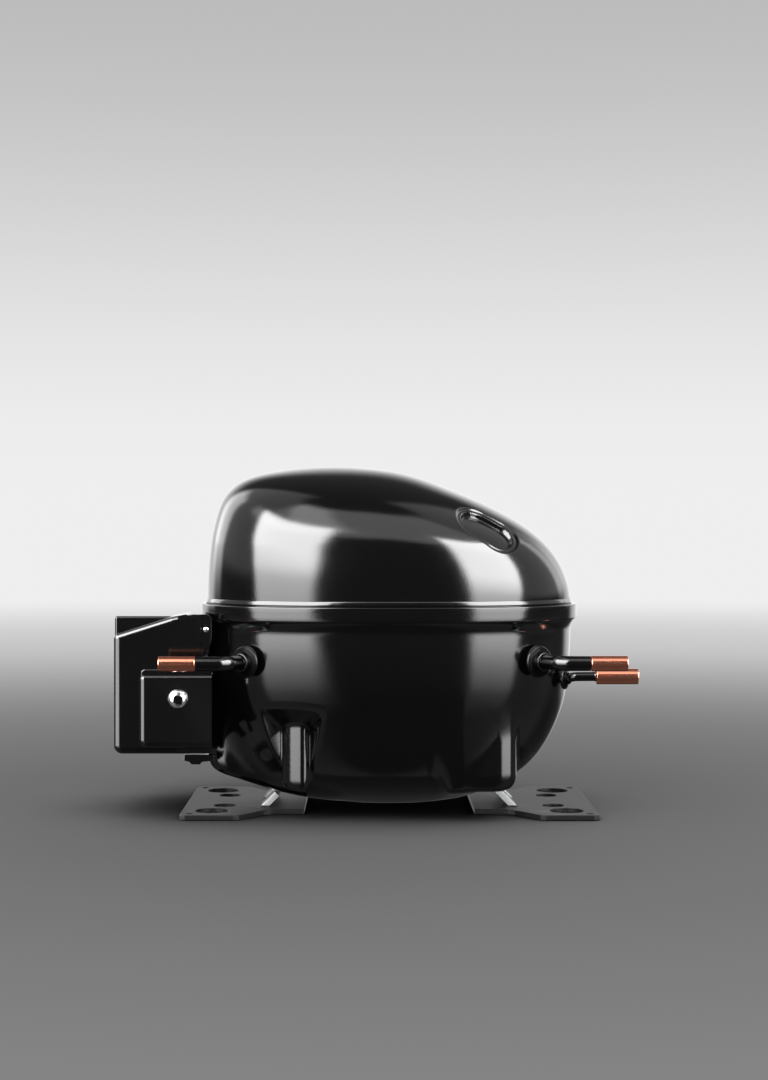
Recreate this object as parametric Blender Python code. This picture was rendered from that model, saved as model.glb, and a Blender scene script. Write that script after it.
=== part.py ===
"""Hermetic reciprocating compressor, modelled as an assembly of separate pieces.

Lengths below are in millimetres and are scaled to metres when the meshes are made.
+Z is up, the soles of the foot plates lie at Z = 0, the cylinder axis and the foot
plates run along X, and the electrical box is on the -X end.
"""
import math

import bmesh
import bpy
import numpy as np
from mathutils import Vector
from mathutils.geometry import tessellate_polygon

for _old in list(bpy.data.objects):
    bpy.data.objects.remove(_old, do_unlink=True)

# ------------------------------------------------------------------ driving dimensions
MM = 0.001
CENTRE_SHIFT = 7.7          # moves the whole assembly so its bounding box is centred on X
GAP = 0.3                   # clearance kept between pieces that touch

# shell
WALL = 3.0                  # sheet thickness of both stampings
DOME_TOP = 168.5
SEAM_Z = 101.3              # top edge of the socket rim
DOME_APEX_X = -25.0
PLAN_POWER = 2.5            # superellipse power of the plan outline
HALF_LENGTH = 89.7          # shell wall, along X
HALF_WIDTH = 71.7           # shell wall, along Y
BOWL_TOP = 88.0
BOWL_BOTTOM = 2.6
LIP_OUT = 3.0               # how far the socket rim stands out of the wall

# section tables of the stampings: (distance along X, height)
DOME_ELECTRICAL_END = [(-43.1, 167.9), (-55.8, 166.3), (-65.3, 164.4), (-71.7, 162.1), (-76.8, 158.6),
                       (-80.6, 154.8), (-83.5, 149.1), (-85.7, 141.5), (-87.6, 133.2), (-89.2, 117.3), (-89.7, 101.3)]
DOME_TUBE_END = [(-11.3, 167.8), (-1.7, 166.8), (5.8, 165.5), (18.5, 161.7), (31.2, 156.6), (43.9, 151.5),
                 (56.6, 145.1), (66.8, 139.4), (74.4, 133.1), (80.8, 126.1), (84.6, 119.7), (87.2, 113.3), (89.1, 105.7), (89.7, 101.3)]
DOME_SIDE = [(9.5, 167.9), (19.0, 166.3), (27.5, 164.4), (35.0, 162.1), (43.5, 158.6), (50.0, 154.8),
             (57.0, 149.1), (63.0, 141.5), (67.3, 133.2), (70.8, 117.3), (71.7, 101.3)]
BOWL_SECTION = [(18.0, 3.2), (32.0, 5.3), (45.0, 8.9), (55.0, 13.0), (64.6, 18.6), (66.8, 20.5), (73.2, 26.9), (78.2, 34.5),
                (82.0, 42.0), (85.2, 49.8), (87.2, 57.4), (88.4, 67.6), (89.4, 80.0), (89.7, 88.0)]

# foot plates (170 x 70 mm hole pattern)
FOOT_T = 2.5
FOOT_END_X = 99.5
FOOT_HALF_Y = 50.0
GROMMET_X, GROMMET_Y, GROMMET_R = 85.0, 35.0, 8.0
SLOT_X, SLOT_Y, SLOT_R = 80.2, 17.5, 5.3
PIN_X, PIN_Y, PIN_R = 95.0, 44.8, 1.65

# pump
SHAFT_X = 4.0               # crankshaft axis
SHAFT_R = 8.0
THROW = 8.0                 # eccentricity of the crank pin, so the stroke is 16
PIN_RADIUS = 7.0
BORE_Z = 131.0              # cylinder axis height
PISTON_R = 12.0
BORE_R = 12.15
DECK_Z = 112.0              # top face of the cylinder block
STATOR_LO, STATOR_HI, STATOR_HALF = 40.0, 80.0, 42.0
SPRING_DX, SPRING_DY = 34.0, 32.0

# ------------------------------------------------------------------ materials
PALETTE = {
    "shell_paint": ((0.012, 0.012, 0.014), 0.0, 0.18),
    "foot_paint": ((0.03, 0.03, 0.032), 0.0, 0.45),
    "copper_bare": ((0.80, 0.38, 0.24), 1.0, 0.28),
    "cover_plastic": ((0.016, 0.016, 0.018), 0.0, 0.4),
    "bright_screw": ((0.75, 0.75, 0.76), 1.0, 0.15),
    "steel_plain": ((0.45, 0.45, 0.46), 1.0, 0.4),
    "cast_grey": ((0.22, 0.22, 0.22), 0.8, 0.55),
    "lamination": ((0.30, 0.30, 0.33), 0.9, 0.45),
    "winding_copper": ((0.60, 0.24, 0.10), 0.8, 0.35),
    "alloy_cast": ((0.62, 0.62, 0.63), 1.0, 0.38),
    "muffler_plastic": ((0.72, 0.70, 0.62), 0.0, 0.5),
    "gasket_fibre": ((0.10, 0.18, 0.14), 0.0, 0.8),
    "bearing_bronze": ((0.55, 0.36, 0.14), 1.0, 0.35),
}
MATS = {}
for _name, (_rgb, _metal, _rough) in PALETTE.items():
    _m = bpy.data.materials.new(_name)
    _m.use_nodes = True
    _b = _m.node_tree.nodes["Principled BSDF"]
    _b.inputs["Base Color"].default_value = (*_rgb, 1.0)
    _b.inputs["Metallic"].default_value = _metal
    _b.inputs["Roughness"].default_value = _rough
    MATS[_name] = _m


# ------------------------------------------------------------------ mesh helpers
def make(name, verts, faces, mat, origin=(0.0, 0.0, 0.0)):
    """One mesh object; origin is where the object's own origin sits."""
    me = bpy.data.meshes.new(name)
    o = np.array(origin, float)
    v = (np.array(verts, float) - o) * MM
    me.from_pydata([tuple(p) for p in v], [], [tuple(int(i) for i in f) for f in faces])
    bm = bmesh.new()
    bm.from_mesh(me)
    bmesh.ops.remove_doubles(bm, verts=bm.verts, dist=1e-7)
    bmesh.ops.recalc_face_normals(bm, faces=bm.faces)
    bm.to_mesh(me)
    bm.free()
    me.materials.append(MATS[mat])
    ob = bpy.data.objects.new(name, me)
    ob.location = Vector((o[0] + CENTRE_SHIFT, o[1], o[2])) * MM
    bpy.context.scene.collection.objects.link(ob)
    return ob


def solid(loops, cyclic=False, poles=(None, None)):
    """Vertices and faces through closed loops of equal count, capped or closed on themselves."""
    verts, faces = [], []
    n = len(loops[0])
    for lp in loops:
        verts.extend([tuple(p) for p in lp])
    m = len(loops)
    for i in range(m if cyclic else m - 1):
        a, b = i * n, ((i + 1) % m) * n
        for j in range(n):
            k = (j + 1) % n
            faces.append((a + j, a + k, b + k, b + j))
    if not cyclic:
        for pole, base, rev in ((poles[0], 0, True), (poles[1], (m - 1) * n, False)):
            if pole is None:
                f = [base + j for j in range(n)]
                faces.append(f[::-1] if rev else f)
            else:
                verts.append(tuple(pole))
                c = len(verts) - 1
                for j in range(n):
                    k = (j + 1) % n
                    faces.append((base + k, base + j, c) if rev else (base + j, base + k, c))
    return verts, faces


def axis_map(axis, c, r, t, ang):
    """A point at radius r, angle ang and height t along the axis through c."""
    u, v = r * math.cos(ang), r * math.sin(ang)
    if axis == "X":
        return (c[0] + t, c[1] + u, c[2] + v)
    if axis == "Y":
        return (c[0] + u, c[1] + t, c[2] + v)
    return (c[0] + u, c[1] + v, c[2] + t)


def turned(profile, n=24, axis="Z", c=(0, 0, 0), hollow=False, phase=0.0):
    """Revolve (radius, height) pairs. A solid one is capped at both ends; a hollow one closes on itself."""
    loops = [[axis_map(axis, c, r, t, phase + 2 * math.pi * j / n) for j in range(n)] for r, t in profile]
    return solid(loops, cyclic=hollow)


def plate(outer, holes, axis, lo, hi):
    """Extrude a flat outline with holes along an axis."""
    rings = [outer] + list(holes)
    flat = [Vector((u, v, 0)) for ring in rings for (u, v) in ring]
    tris = tessellate_polygon([[Vector((u, v, 0)) for (u, v) in ring] for ring in rings])
    n = len(flat)

    def put(p, t):
        if axis == "X":
            return (t, p[0], p[1])
        if axis == "Y":
            return (p[0], t, p[1])
        return (p[0], p[1], t)
    verts = [put(p, lo) for p in flat] + [put(p, hi) for p in flat]
    faces = [tuple(t) for t in tris] + [tuple(i + n for i in reversed(t)) for t in tris]
    base = 0
    for ring in rings:
        m = len(ring)
        for j in range(m):
            k = (j + 1) % m
            faces.append((base + j, base + k, base + k + n, base + j + n))
        base += m
    return verts, faces


def circle(cx, cy, r, n=16, phase=0.0):
    return [(cx + r * math.cos(phase + 2 * math.pi * j / n), cy + r * math.sin(phase + 2 * math.pi * j / n)) for j in range(n)]


def round_rect(x0, y0, x1, y1, r, n=4):
    pts = []
    for cx, cy, a0 in ((x1 - r, y0 + r, -90), (x1 - r, y1 - r, 0), (x0 + r, y1 - r, 90), (x0 + r, y0 + r, 180)):
        for i in range(n + 1):
            a = math.radians(a0 + 90 * i / n)
            pts.append((cx + r * math.cos(a), cy + r * math.sin(a)))
    return pts


def box(x0, y0, z0, x1, y1, z1):
    return plate([(x0, y0), (x1, y0), (x1, y1), (x0, y1)], [], "Z", z0, z1)


def sweep(path, r, n=10, inner=None, closed_ends=True):
    """A round bar or pipe along a path of points."""
    p = [Vector(q) for q in path]
    up = Vector((0, 0, 1))
    loops, inner_loops = [], []
    frame = None
    for i, q in enumerate(p):
        d = (p[min(i + 1, len(p) - 1)] - p[max(i - 1, 0)]).normalized()
        if frame is None:
            a = d.cross(up)
            if a.length < 0.2:
                a = d.cross(Vector((0, 1, 0)))
            a.normalize()
        else:
            a = (frame - d * frame.dot(d)).normalized()
        frame = a
        b = d.cross(a).normalized()
        ring = lambda rad: [tuple(q + a * (rad * math.cos(2 * math.pi * j / n)) + b * (rad * math.sin(2 * math.pi * j / n))) for j in range(n)]
        loops.append(ring(r))
        if inner:
            inner_loops.append(ring(inner))
    if inner:
        return solid(loops + inner_loops[::-1], cyclic=True)
    return solid(loops)


def arc_path(points, radius, step=30.0):
    """Round the corners of a polyline."""
    pts = [Vector(p) for p in points]
    out = [tuple(pts[0])]
    for i in range(1, len(pts) - 1):
        a, b, c = pts[i - 1], pts[i], pts[i + 1]
        d1, d2 = (a - b).normalized(), (c - b).normalized()
        half = d1.angle(d2) / 2
        r = min(radius, 0.95 * min((a - b).length, (c - b).length) * math.tan(half))
        cut = r / math.tan(half)
        start, end = b + d1 * cut, b + d2 * cut
        centre = b + (d1 + d2).normalized() * (r / math.sin(half))
        turn = math.pi - 2 * half
        m = max(2, int(math.degrees(turn) / step + 0.999))
        v0, v1 = (start - centre), (end - centre)
        for k in range(m + 1):
            t = k / m
            w = (v0 * math.sin((1 - t) * turn) + v1 * math.sin(t * turn)) / math.sin(turn)
            out.append(tuple(centre + w))
    out.append(tuple(pts[-1]))
    return out


def boolean(ob, tools, op):
    """Cut or join tool objects, then drop them."""
    for t in tools:
        t.hide_render = True
        t.display_type = "WIRE"
        m = ob.modifiers.new("b", "BOOLEAN")
        m.operation = op
        m.solver = "EXACT"
        m.object = t
    bpy.context.view_layer.update()
    dg = bpy.context.evaluated_depsgraph_get()
    me = bpy.data.meshes.new_from_object(ob.evaluated_get(dg))
    ob.modifiers.clear()
    mats = list(ob.data.materials)
    ob.data = me
    me.materials.clear()
    for mm in mats[:1]:
        me.materials.append(mm)
    for p in me.polygons:
        p.material_index = 0
    for t in tools:
        bpy.data.objects.remove(t, do_unlink=True)
    return ob


def tool(vf):
    return make("tool", vf[0], vf[1], "steel_plain")


# ------------------------------------------------------------------ shell shape
def section(table, x0, z_top, height):
    """Smooth half-width of a stamping against s = sqrt(depth below the top / height)."""
    s = np.array([0.0] + [math.sqrt(abs(z_top - z) / height) for _, z in table])
    x = np.array([0.0] + [abs(v - x0) for v, _ in table])
    order = np.argsort(s)
    g = np.linspace(-1.0, 2.0, 1501)
    y = np.where(g < 0, -np.interp(-g, s[order], x[order]), np.interp(np.where(g > 1, 2 - g, g), s[order], x[order]))
    k = np.exp(-0.5 * (np.arange(-60, 61) * 0.002 / 0.03) ** 2)
    k /= k.sum()
    for _ in range(2):
        y = np.convolve(np.pad(y, 60, mode="edge"), k, mode="valid")
    keep = (g >= -1e-9) & (g <= 1 + 1e-9)
    gg, yy = g[keep], y[keep]
    yy = yy - yy[0] * (1 - gg)
    return gg, yy * (x[order][-1] / yy[-1])


DOME_H = DOME_TOP - SEAM_Z
DOME_L = section(DOME_ELECTRICAL_END, DOME_APEX_X, DOME_TOP, DOME_H)
DOME_R = section(DOME_TUBE_END, DOME_APEX_X, DOME_TOP, DOME_H)
DOME_D = section(DOME_SIDE, 0.0, DOME_TOP, DOME_H)
BOWL_H = BOWL_TOP - BOWL_BOTTOM
BOWL_S = section([(a, 2 * BOWL_BOTTOM - z) for a, z in BOWL_SECTION], 0.0, BOWL_BOTTOM, BOWL_H)


def offset_section(gg, xx, z_of, inset):
    """The same section moved inward by a wall thickness, as (height, half-width) rows."""
    z = z_of(gg)
    dx, dz = np.gradient(xx), np.gradient(z)
    ln = np.hypot(dx, dz)
    nx, nz = np.abs(dz) / ln, np.abs(dx) / ln
    return z, xx - inset * nx, nz * inset


def dome_extents(s, inset=0.0):
    """(x centre, half-length, half-width, height) of the dome's level outline at s; inset is the wall."""
    l, r, d = (np.interp(s, *t) for t in (DOME_L, DOME_R, DOME_D))
    scale = 1.0 - inset / 80.0
    z = DOME_TOP - DOME_H * s ** 2
    x0, x1 = DOME_APEX_X - l, DOME_APEX_X + r
    if inset:
        x0, x1, d = x0 + inset * np.minimum(1, l / 20), x1 - inset * np.minimum(1, r / 20), d - inset * np.minimum(1, d / 20)
        z = z - inset * (1 - s ** 3)
    return (x0 + x1) / 2, (x1 - x0) / 2, d, z


def outline(phi, a, b, power=PLAN_POWER):
    c, s = np.abs(np.cos(phi)), np.abs(np.sin(phi))
    return 1.0 / ((c / a) ** power + (s / b) ** power) ** (1.0 / power)


def angles(n, bumps):
    """n directions round the axis, closer together near each (angle, width, weight)."""
    g = np.linspace(0, 2 * math.pi, 7201)
    w = np.ones_like(g)
    for a, width, weight in bumps:
        d = (g - a + math.pi) % (2 * math.pi) - math.pi
        w += weight * np.exp(-((d / width) ** 4))
    cum = np.concatenate([[0], np.cumsum((w[1:] + w[:-1]) / 2)])
    return np.interp(np.arange(n) / n * cum[-1], cum, g)


# stamped pocket in the dome, a plain rounded slot
POCKET_C = np.array([46.8, -50.6, 138.9])
POCKET_HALF, POCKET_R, POCKET_DEPTH, POCKET_SLOPE = 5.0, 12.0, 3.2, 4.5


def pocket_frame():
    def level(p):
        s = math.sqrt((DOME_TOP - p[2]) / DOME_H)
        xc, a, b, _ = dome_extents(s)
        return (abs((p[0] - xc) / a) ** PLAN_POWER + abs(p[1] / b) ** PLAN_POWER)
    e = 0.5
    n = np.array([level(POCKET_C + e * v) - level(POCKET_C - e * v) for v in np.eye(3)])
    n /= np.linalg.norm(n)
    u = np.array([0.815, 0.0, -0.578])
    u = u - n * u.dot(n)
    u /= np.linalg.norm(u)
    return n, u, np.cross(n, u)


POCKET_N, POCKET_U, POCKET_V = pocket_frame()


def press_pocket(p):
    q = p - POCKET_C
    u, v = q @ POCKET_U, q @ POCKET_V
    d = np.hypot(np.maximum(np.abs(u) - POCKET_HALF, 0), v) - POCKET_R
    t = np.clip(-d / POCKET_SLOPE, 0, 1)
    near = (np.abs(q @ POCKET_N) < 25)
    h = -POCKET_DEPTH * t * t * (3 - 2 * t) * near
    return p + h[:, None] * POCKET_N[None, :]


def smin(a, b, k):
    h = np.maximum(k - np.abs(a - b), 0) / k
    return np.minimum(a, b) - h * h * k / 4


def smax(a, b, k):
    return -smin(-a, -b, k)


def rounded_box(x, y, z, lo, hi, r):
    q = [np.abs(c - (l + h) / 2) - ((h - l) / 2 - r) for c, l, h in ((x, lo[0], hi[0]), (y, lo[1], hi[1]), (z, lo[2], hi[2]))]
    m = [np.maximum(c, 0) for c in q]
    return np.sqrt(m[0] ** 2 + m[1] ** 2 + m[2] ** 2) + np.minimum(np.maximum(np.maximum(q[0], q[1]), q[2]), 0) - r


def plan_plane(u, v, p, q, side):
    """Signed distance in plan from the line through p and q."""
    d = np.array([q[0] - p[0], q[1] - p[1]], float)
    d /= np.linalg.norm(d)
    return side * ((u - p[0]) * d[1] - (v - p[1]) * d[0])


def bowl_field(x, y, z, inset=0.0):
    """Roughly the distance outside the lower stamping's surface, or outside its inner wall."""
    s = np.sqrt(np.clip(z - BOWL_BOTTOM - inset, 1e-4, None) / BOWL_H)
    a = np.maximum(np.interp(s, *BOWL_S) - inset, 0.2)
    slope = (np.interp(s + 0.01, *BOWL_S) - np.interp(s - 0.01, *BOWL_S)) / 0.02 / (2 * s * BOWL_H)
    slope = np.clip(slope, 0, 12)
    b = a * HALF_WIDTH / HALF_LENGTH
    g = ((np.abs(x) / a) ** PLAN_POWER + (np.abs(y) / b) ** PLAN_POWER) ** (1 / PLAN_POWER)
    f = (g - 1) * b / np.sqrt(1 + slope ** 2)
    f = np.where(z < BOWL_BOTTOM + inset, np.maximum(f, BOWL_BOTTOM + inset - z), f)
    v = np.abs(y)
    end = rounded_box(x, v, z, (-87.3 + inset, -60, 10), (-20, 37 - inset, 84 - inset), 10.0 - inset)
    end = smax(end, (17.0 + 0.33 * (-71.5 - x) - z) / 1.053 + inset, 6.0)
    f = smin(f, end, 8.0)
    boss = smax(v - (58.2 - inset), 0.342 * (x - 51.7) + 0.940 * (v - 58.2) + inset, 0.9)
    boss = smax(boss, x - (59.6 - inset), 4.5)
    boss = smax(boss, 13.6 + inset - z, 9.0)
    boss = smax(boss, 27.0 - x, 4.0)
    boss = smax(boss, 5.0 - v, 4.0)
    f = smin(f, boss, 2.5 + 7.5 * np.clip((50.0 - x) / 16.0, 0, 1))
    rec = plan_plane(x, v, (-51.5, 47.0), (-61.8, 57.0), -1)
    rec = smax(rec, plan_plane(x, v, (-39.4, 47.0), (-30.9, 67.0), 1), 2.0)
    rec = smax(rec, 47.0 - v, 0.8)
    rec = smax(rec, (z - 53.2 - 0.83 * (v - 0.375 * (x + 47.0) - 60.6)) / 1.34, 2.0)
    f = smax(f, -(rec - inset), 1.7)
    if not inset:
        ca, cb = 0.92 * (x + 42.2) + 0.39 * (v - 48.7), -0.39 * (x + 42.2) + 0.92 * (v - 48.7)
        left = ca < 0
        power = np.where(left, 2.1, 2.7)
        half = np.where(left, 9.4, 5.0)
        col = ((np.abs(ca) / half) ** power + (np.abs(cb) / 4.6) ** power) ** (1 / power)
        col = (col - 1) * 4.6
        col = smax(col, 13.8 - z, 5.0)
        col = smax(col, z - 60.0, 3.0)
        f = smin(f, col, 1.2)
    return f


def bowl_points(phis, elevations, inset=0.0):
    """Points where rays from the bowl's centre leave the surface; one row per elevation."""
    rows = []
    for e in elevations:
        d = np.stack([np.cos(phis) * math.cos(e), np.sin(phis) * math.cos(e), np.full_like(phis, math.sin(e))], 1)
        lo, hi = np.full(len(phis), 30.0), np.full(len(phis), 120.0)
        for _ in range(40):
            mid = (lo + hi) / 2
            p = d * mid[:, None]
            out = bowl_field(p[:, 0], p[:, 1], p[:, 2] + BOWL_TOP, inset) > 0
            hi, lo = np.where(out, mid, hi), np.where(out, lo, mid)
        p = d * ((lo + hi) / 2)[:, None]
        p[:, 2] += BOWL_TOP
        rows.append(p)
    return rows


def wall_row(phis, a, b, z, xc=0.0):
    r = outline(phis, a, b)
    return np.stack([xc + r * np.cos(phis), r * np.sin(phis), np.full_like(phis, z)], 1)


DEG = math.pi / 180
# ---------------------------------------------------------------- lower shell
PH = angles(66, [(231 * DEG, 15 * DEG, 1.6), (129 * DEG, 15 * DEG, 1.6), (315 * DEG, 14 * DEG, 0.9), (45 * DEG, 14 * DEG, 0.9)])
rows = [wall_row(PH, HALF_LENGTH + o, HALF_WIDTH + o, z) for o, z in
        ((LIP_OUT - 0.5, SEAM_Z), (LIP_OUT, SEAM_Z - 0.6), (LIP_OUT, 94.4), (2.1, 92.4), (0.5, 90.4))]
OUT_EL = [-v * DEG for v in (0.01, 10, 18, 24, 27.5, 30.5, 34, 38, 42, 46, 50, 55, 63, 75)]
rows += bowl_points(PH, OUT_EL)
bottom_outer = (0, 0, BOWL_BOTTOM)
IN_EL = [-v * DEG for v in (74, 58, 47, 38, 30, 20, 1.5)]
inner = bowl_points(PH, IN_EL, WALL)
inner += [wall_row(PH, HALF_LENGTH - WALL, HALF_WIDTH - WALL, 92.4),
          wall_row(PH, HALF_LENGTH + 0.6, HALF_WIDTH + 0.6, 93.4), wall_row(PH, HALF_LENGTH + 0.6, HALF_WIDTH + 0.6, SEAM_Z)]
n_ph = len(PH)
verts = [tuple(p) for r in rows for p in r]
faces = []
for i in range(len(rows) - 1):
    for j in range(n_ph):
        k = (j + 1) % n_ph
        faces.append((i * n_ph + j, i * n_ph + k, (i + 1) * n_ph + k, (i + 1) * n_ph + j))
c0 = len(verts)
verts.append(bottom_outer)
base = (len(rows) - 1) * n_ph
faces += [(base + j, base + (j + 1) % n_ph, c0) for j in range(n_ph)]
start = len(verts)
verts.append((0, 0, BOWL_BOTTOM + WALL))
verts += [tuple(p) for r in inner for p in r]
faces += [(start, start + 1 + j, start + 1 + (j + 1) % n_ph) for j in range(n_ph)]
for i in range(len(inner) - 1):
    a, b = start + 1 + i * n_ph, start + 1 + (i + 1) * n_ph
    faces += [(a + j, a + (j + 1) % n_ph, b + (j + 1) % n_ph, b + j) for j in range(n_ph)]
a = start + 1 + (len(inner) - 1) * n_ph
faces += [(a + j, a + (j + 1) % n_ph, (j + 1) % n_ph, j) for j in range(n_ph)]
shell = make("lower_shell", verts, faces, "shell_paint")

# tube stations: where each tube meets the wall (x, y, z), the outward direction in plan, radius
PROCESS = ((-66.0, -55.9, 75.3), (-0.591, -0.807), 3.5)
SUCTION = ((68.0, -54.9, 75.5), (0.60, -0.80), 3.5)
DISCHARGE = ((82.6, -35.6, 66.0), (0.898, -0.44), 2.1)
TERMINAL_Y, TERMINAL_Z, TERMINAL_R = 0.0, 61.0, 15.0


def along(station, t, dz=0.0):
    (x, y, z), (nx, ny), _ = station
    return (x + nx * t, y + ny * t, z + dz)


cutters = [tool(sweep([along(s, -14), along(s, 14)], s[2] + GAP, 12)) for s in (PROCESS, SUCTION, DISCHARGE)]
cutters.append(tool(turned([(TERMINAL_R + GAP, -20), (TERMINAL_R + GAP, 20)], 20, "X", (-85, TERMINAL_Y, TERMINAL_Z))))
boolean(shell, cutters, "DIFFERENCE")

# ---------------------------------------------------------------- top cover
PC = angles(54, [(-38 * DEG, 17 * DEG, 1.5)])


def dome_row(phis, s, inset=0.0):
    xc, a, b, z = dome_extents(s, inset)
    power = 2.0 + (PLAN_POWER - 2.0) * min(1.0, s / 0.75)
    r = outline(phis, a, b, power)
    return np.stack([xc + r * np.cos(phis), r * np.sin(phis), np.full_like(phis, z)], 1)


OUT_S = [1.0, 0.93, 0.86, 0.80, 0.745, 0.69, 0.635, 0.58, 0.52, 0.45, 0.37, 0.28, 0.19, 0.10]
IN_S = [0.16, 0.33, 0.47, 0.58, 0.68, 0.82, 1.0]
rows = [wall_row(PC, HALF_LENGTH - WALL + 0.5, HALF_WIDTH - WALL + 0.5, 93.8), wall_row(PC, HALF_LENGTH - 0.5, HALF_WIDTH - 0.5, 93.8),
        wall_row(PC, HALF_LENGTH, HALF_WIDTH, 94.6)]
rows += [press_pocket(dome_row(PC, s)) for s in OUT_S]
inner = [press_pocket(dome_row(PC, s, WALL)) for s in IN_S]
inner = inner[:-1] + [wall_row(PC, HALF_LENGTH - WALL, HALF_WIDTH - WALL, 101.3)]
n_pc = len(PC)
verts = [tuple(p) for r in rows for p in r]
faces = []
for i in range(len(rows) - 1):
    faces += [(i * n_pc + j, i * n_pc + (j + 1) % n_pc, (i + 1) * n_pc + (j + 1) % n_pc, (i + 1) * n_pc + j) for j in range(n_pc)]
c0 = len(verts)
verts.append((DOME_APEX_X, 0, DOME_TOP))
base = (len(rows) - 1) * n_pc
faces += [(base + j, base + (j + 1) % n_pc, c0) for j in range(n_pc)]
start = len(verts)
verts.append((DOME_APEX_X, 0, DOME_TOP - WALL))
verts += [tuple(p) for r in inner for p in r]
faces += [(start, start + 1 + (j + 1) % n_pc, start + 1 + j) for j in range(n_pc)]
for i in range(len(inner) - 1):
    a, b = start + 1 + i * n_pc, start + 1 + (i + 1) * n_pc
    faces += [(a + j, a + (j + 1) % n_pc, b + (j + 1) % n_pc, b + j) for j in range(n_pc)]
a = start + 1 + (len(inner) - 1) * n_pc
faces += [(a + j, a + (j + 1) % n_pc, (j + 1) % n_pc, j) for j in range(n_pc)]
make("top_cover", verts, faces, "shell_paint")

# closing weld in the angle between the cover's wall and the rim's top edge
loops = [[tuple(p) for p in wall_row(PC, HALF_LENGTH + o, HALF_WIDTH + o, z)] for o, z in ((0.45, 101.75), (1.9, 101.75), (0.45, 103.1))]
make("seam_weld_bead", *solid(loops, cyclic=True), "shell_paint")

# ---------------------------------------------------------------- foot plates
def foot(name, sgn, top):
    """top: how close to the axis, along X, the tabs' upper edges come."""
    half = [(FOOT_END_X - 3, -FOOT_HALF_Y), (FOOT_END_X - 0.8, -FOOT_HALF_Y + 0.8), (FOOT_END_X, -FOOT_HALF_Y + 3),
            (FOOT_END_X, FOOT_HALF_Y - 3), (FOOT_END_X - 0.8, FOOT_HALF_Y - 0.8), (FOOT_END_X - 3, FOOT_HALF_Y),
            (74.0, FOOT_HALF_Y), (71.3, FOOT_HALF_Y - 0.8), (60.5, 34.2), (57.5, 32.0), (41.0, 30.0), (41.0, -30.0), (57.5, -32.0), (60.5, -34.2),
            (71.3, -FOOT_HALF_Y + 0.8), (74.0, -FOOT_HALF_Y)]
    holes = []
    for s in (-1, 1):
        holes += [circle(GROMMET_X, s * GROMMET_Y, GROMMET_R, 20), circle(SLOT_X, s * SLOT_Y, SLOT_R, 14), circle(PIN_X, s * PIN_Y, PIN_R, 8)]
    if sgn < 0:
        half = [(-x, y) for x, y in half]
        holes = [[(-x, y) for x, y in h] for h in holes]
    ob = make(name, *plate(half, holes, "Z", 0.0, FOOT_T), "foot_paint")
    # bent weld tabs: a sheared strip rising at 45 degrees toward the shell
    tabs = []
    for s in (-1, 1):
        y0, y1 = sorted((s * 6.0, s * 21.5))
        ring = [(65.4, 1.0), (60.4, 0.6), (top - 3.5, 64.5 - top), (top - 1.4, 66.6 - top), (62.7, 2.3), (65.4, 2.2)]
        ring = [(sgn * x, z) for x, z in ring]
        tabs.append(tool(plate(ring, [], "Y", y0, y1)))
    return boolean(ob, tabs, "UNION")


foot("foot_plate_left", -1, 57.0)
foot("foot_plate_right", 1, 55.0)

# ---------------------------------------------------------------- tubes
def tube_path(station, outside, radius):
    return arc_path([along(station, -7), along(station, 11.5, 0.0)] + outside, radius)


PROCESS_RUN = [(-89.6, -70.0, 75.3)]
SUCTION_RUN = [(92.2, -70.0, 75.5)]
x, y, z = along(PROCESS, 17.0)
path = arc_path([along(PROCESS, -7), (-76.3, -70.0, 75.3), PROCESS_RUN[0]], 9.0)
make("process_tube", *sweep(path, 3.5, 10, 2.6), "shell_paint")
path = arc_path([along(SUCTION, -7), (79.4, -70.0, 75.5), SUCTION_RUN[0]], 9.0)
make("suction_tube", *sweep(path, 3.5, 10, 2.6), "shell_paint")
path = arc_path([along(DISCHARGE, -7), (90.5, -39.5, 66.0), (98.3, -39.5, 67.2)], 4.0)
make("discharge_tube", *sweep(path, 2.1, 10, 1.4), "shell_paint")


def copper(name, x0, x1, y, z, r, ri):
    prof = [(r - 0.4, x0), (r, x0 + 0.5 * (1 if x1 > x0 else -1)), (r, x1 - 0.5 * (1 if x1 > x0 else -1)), (r - 0.4, x1), (ri, x1), (ri, x0)]
    return make(name, *turned(prof, 16, "X", (0, y, z), True), "copper_bare")


copper("process_tube_copper_end", -89.9, -106.8, -70.0, 75.3, 3.6, 2.7)
copper("suction_tube_copper_end", 92.5, 109.4, -70.0, 75.5, 3.6, 2.7)
copper("discharge_tube_copper_end", 98.6, 118.6, -39.5, 67.2, 3.75, 2.9)


def collar(name, station, r_out, lift=0.55):
    """A brazing collar seated on the wall, square to the tube."""
    (x, y, z), (nx, ny), r = station
    n = 20
    loops = []
    tx, ty = -ny, nx
    for rad, t in ((r + GAP, lift), (r_out, lift), (r_out, lift + 2.2), (r_out - 1.6, lift + 3.8), (r + 1.8, lift + 4.2), (r + 1.5, lift + 5.6), (r + GAP, lift + 5.6)):
        ring = []
        for j in range(n):
            a = 2 * math.pi * j / n
            u, v = rad * math.cos(a), rad * math.sin(a)
            ring.append((x + nx * t + tx * u, y + ny * t + ty * u, z + v))
        loops.append(ring)
    make(name, *solid(loops, cyclic=True), "shell_paint")


collar("process_tube_collar", PROCESS, 7.5, 1.9)
collar("suction_tube_collar", SUCTION, 7.5, 1.9)
collar("discharge_tube_collar", DISCHARGE, 5.2, 1.3)

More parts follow.
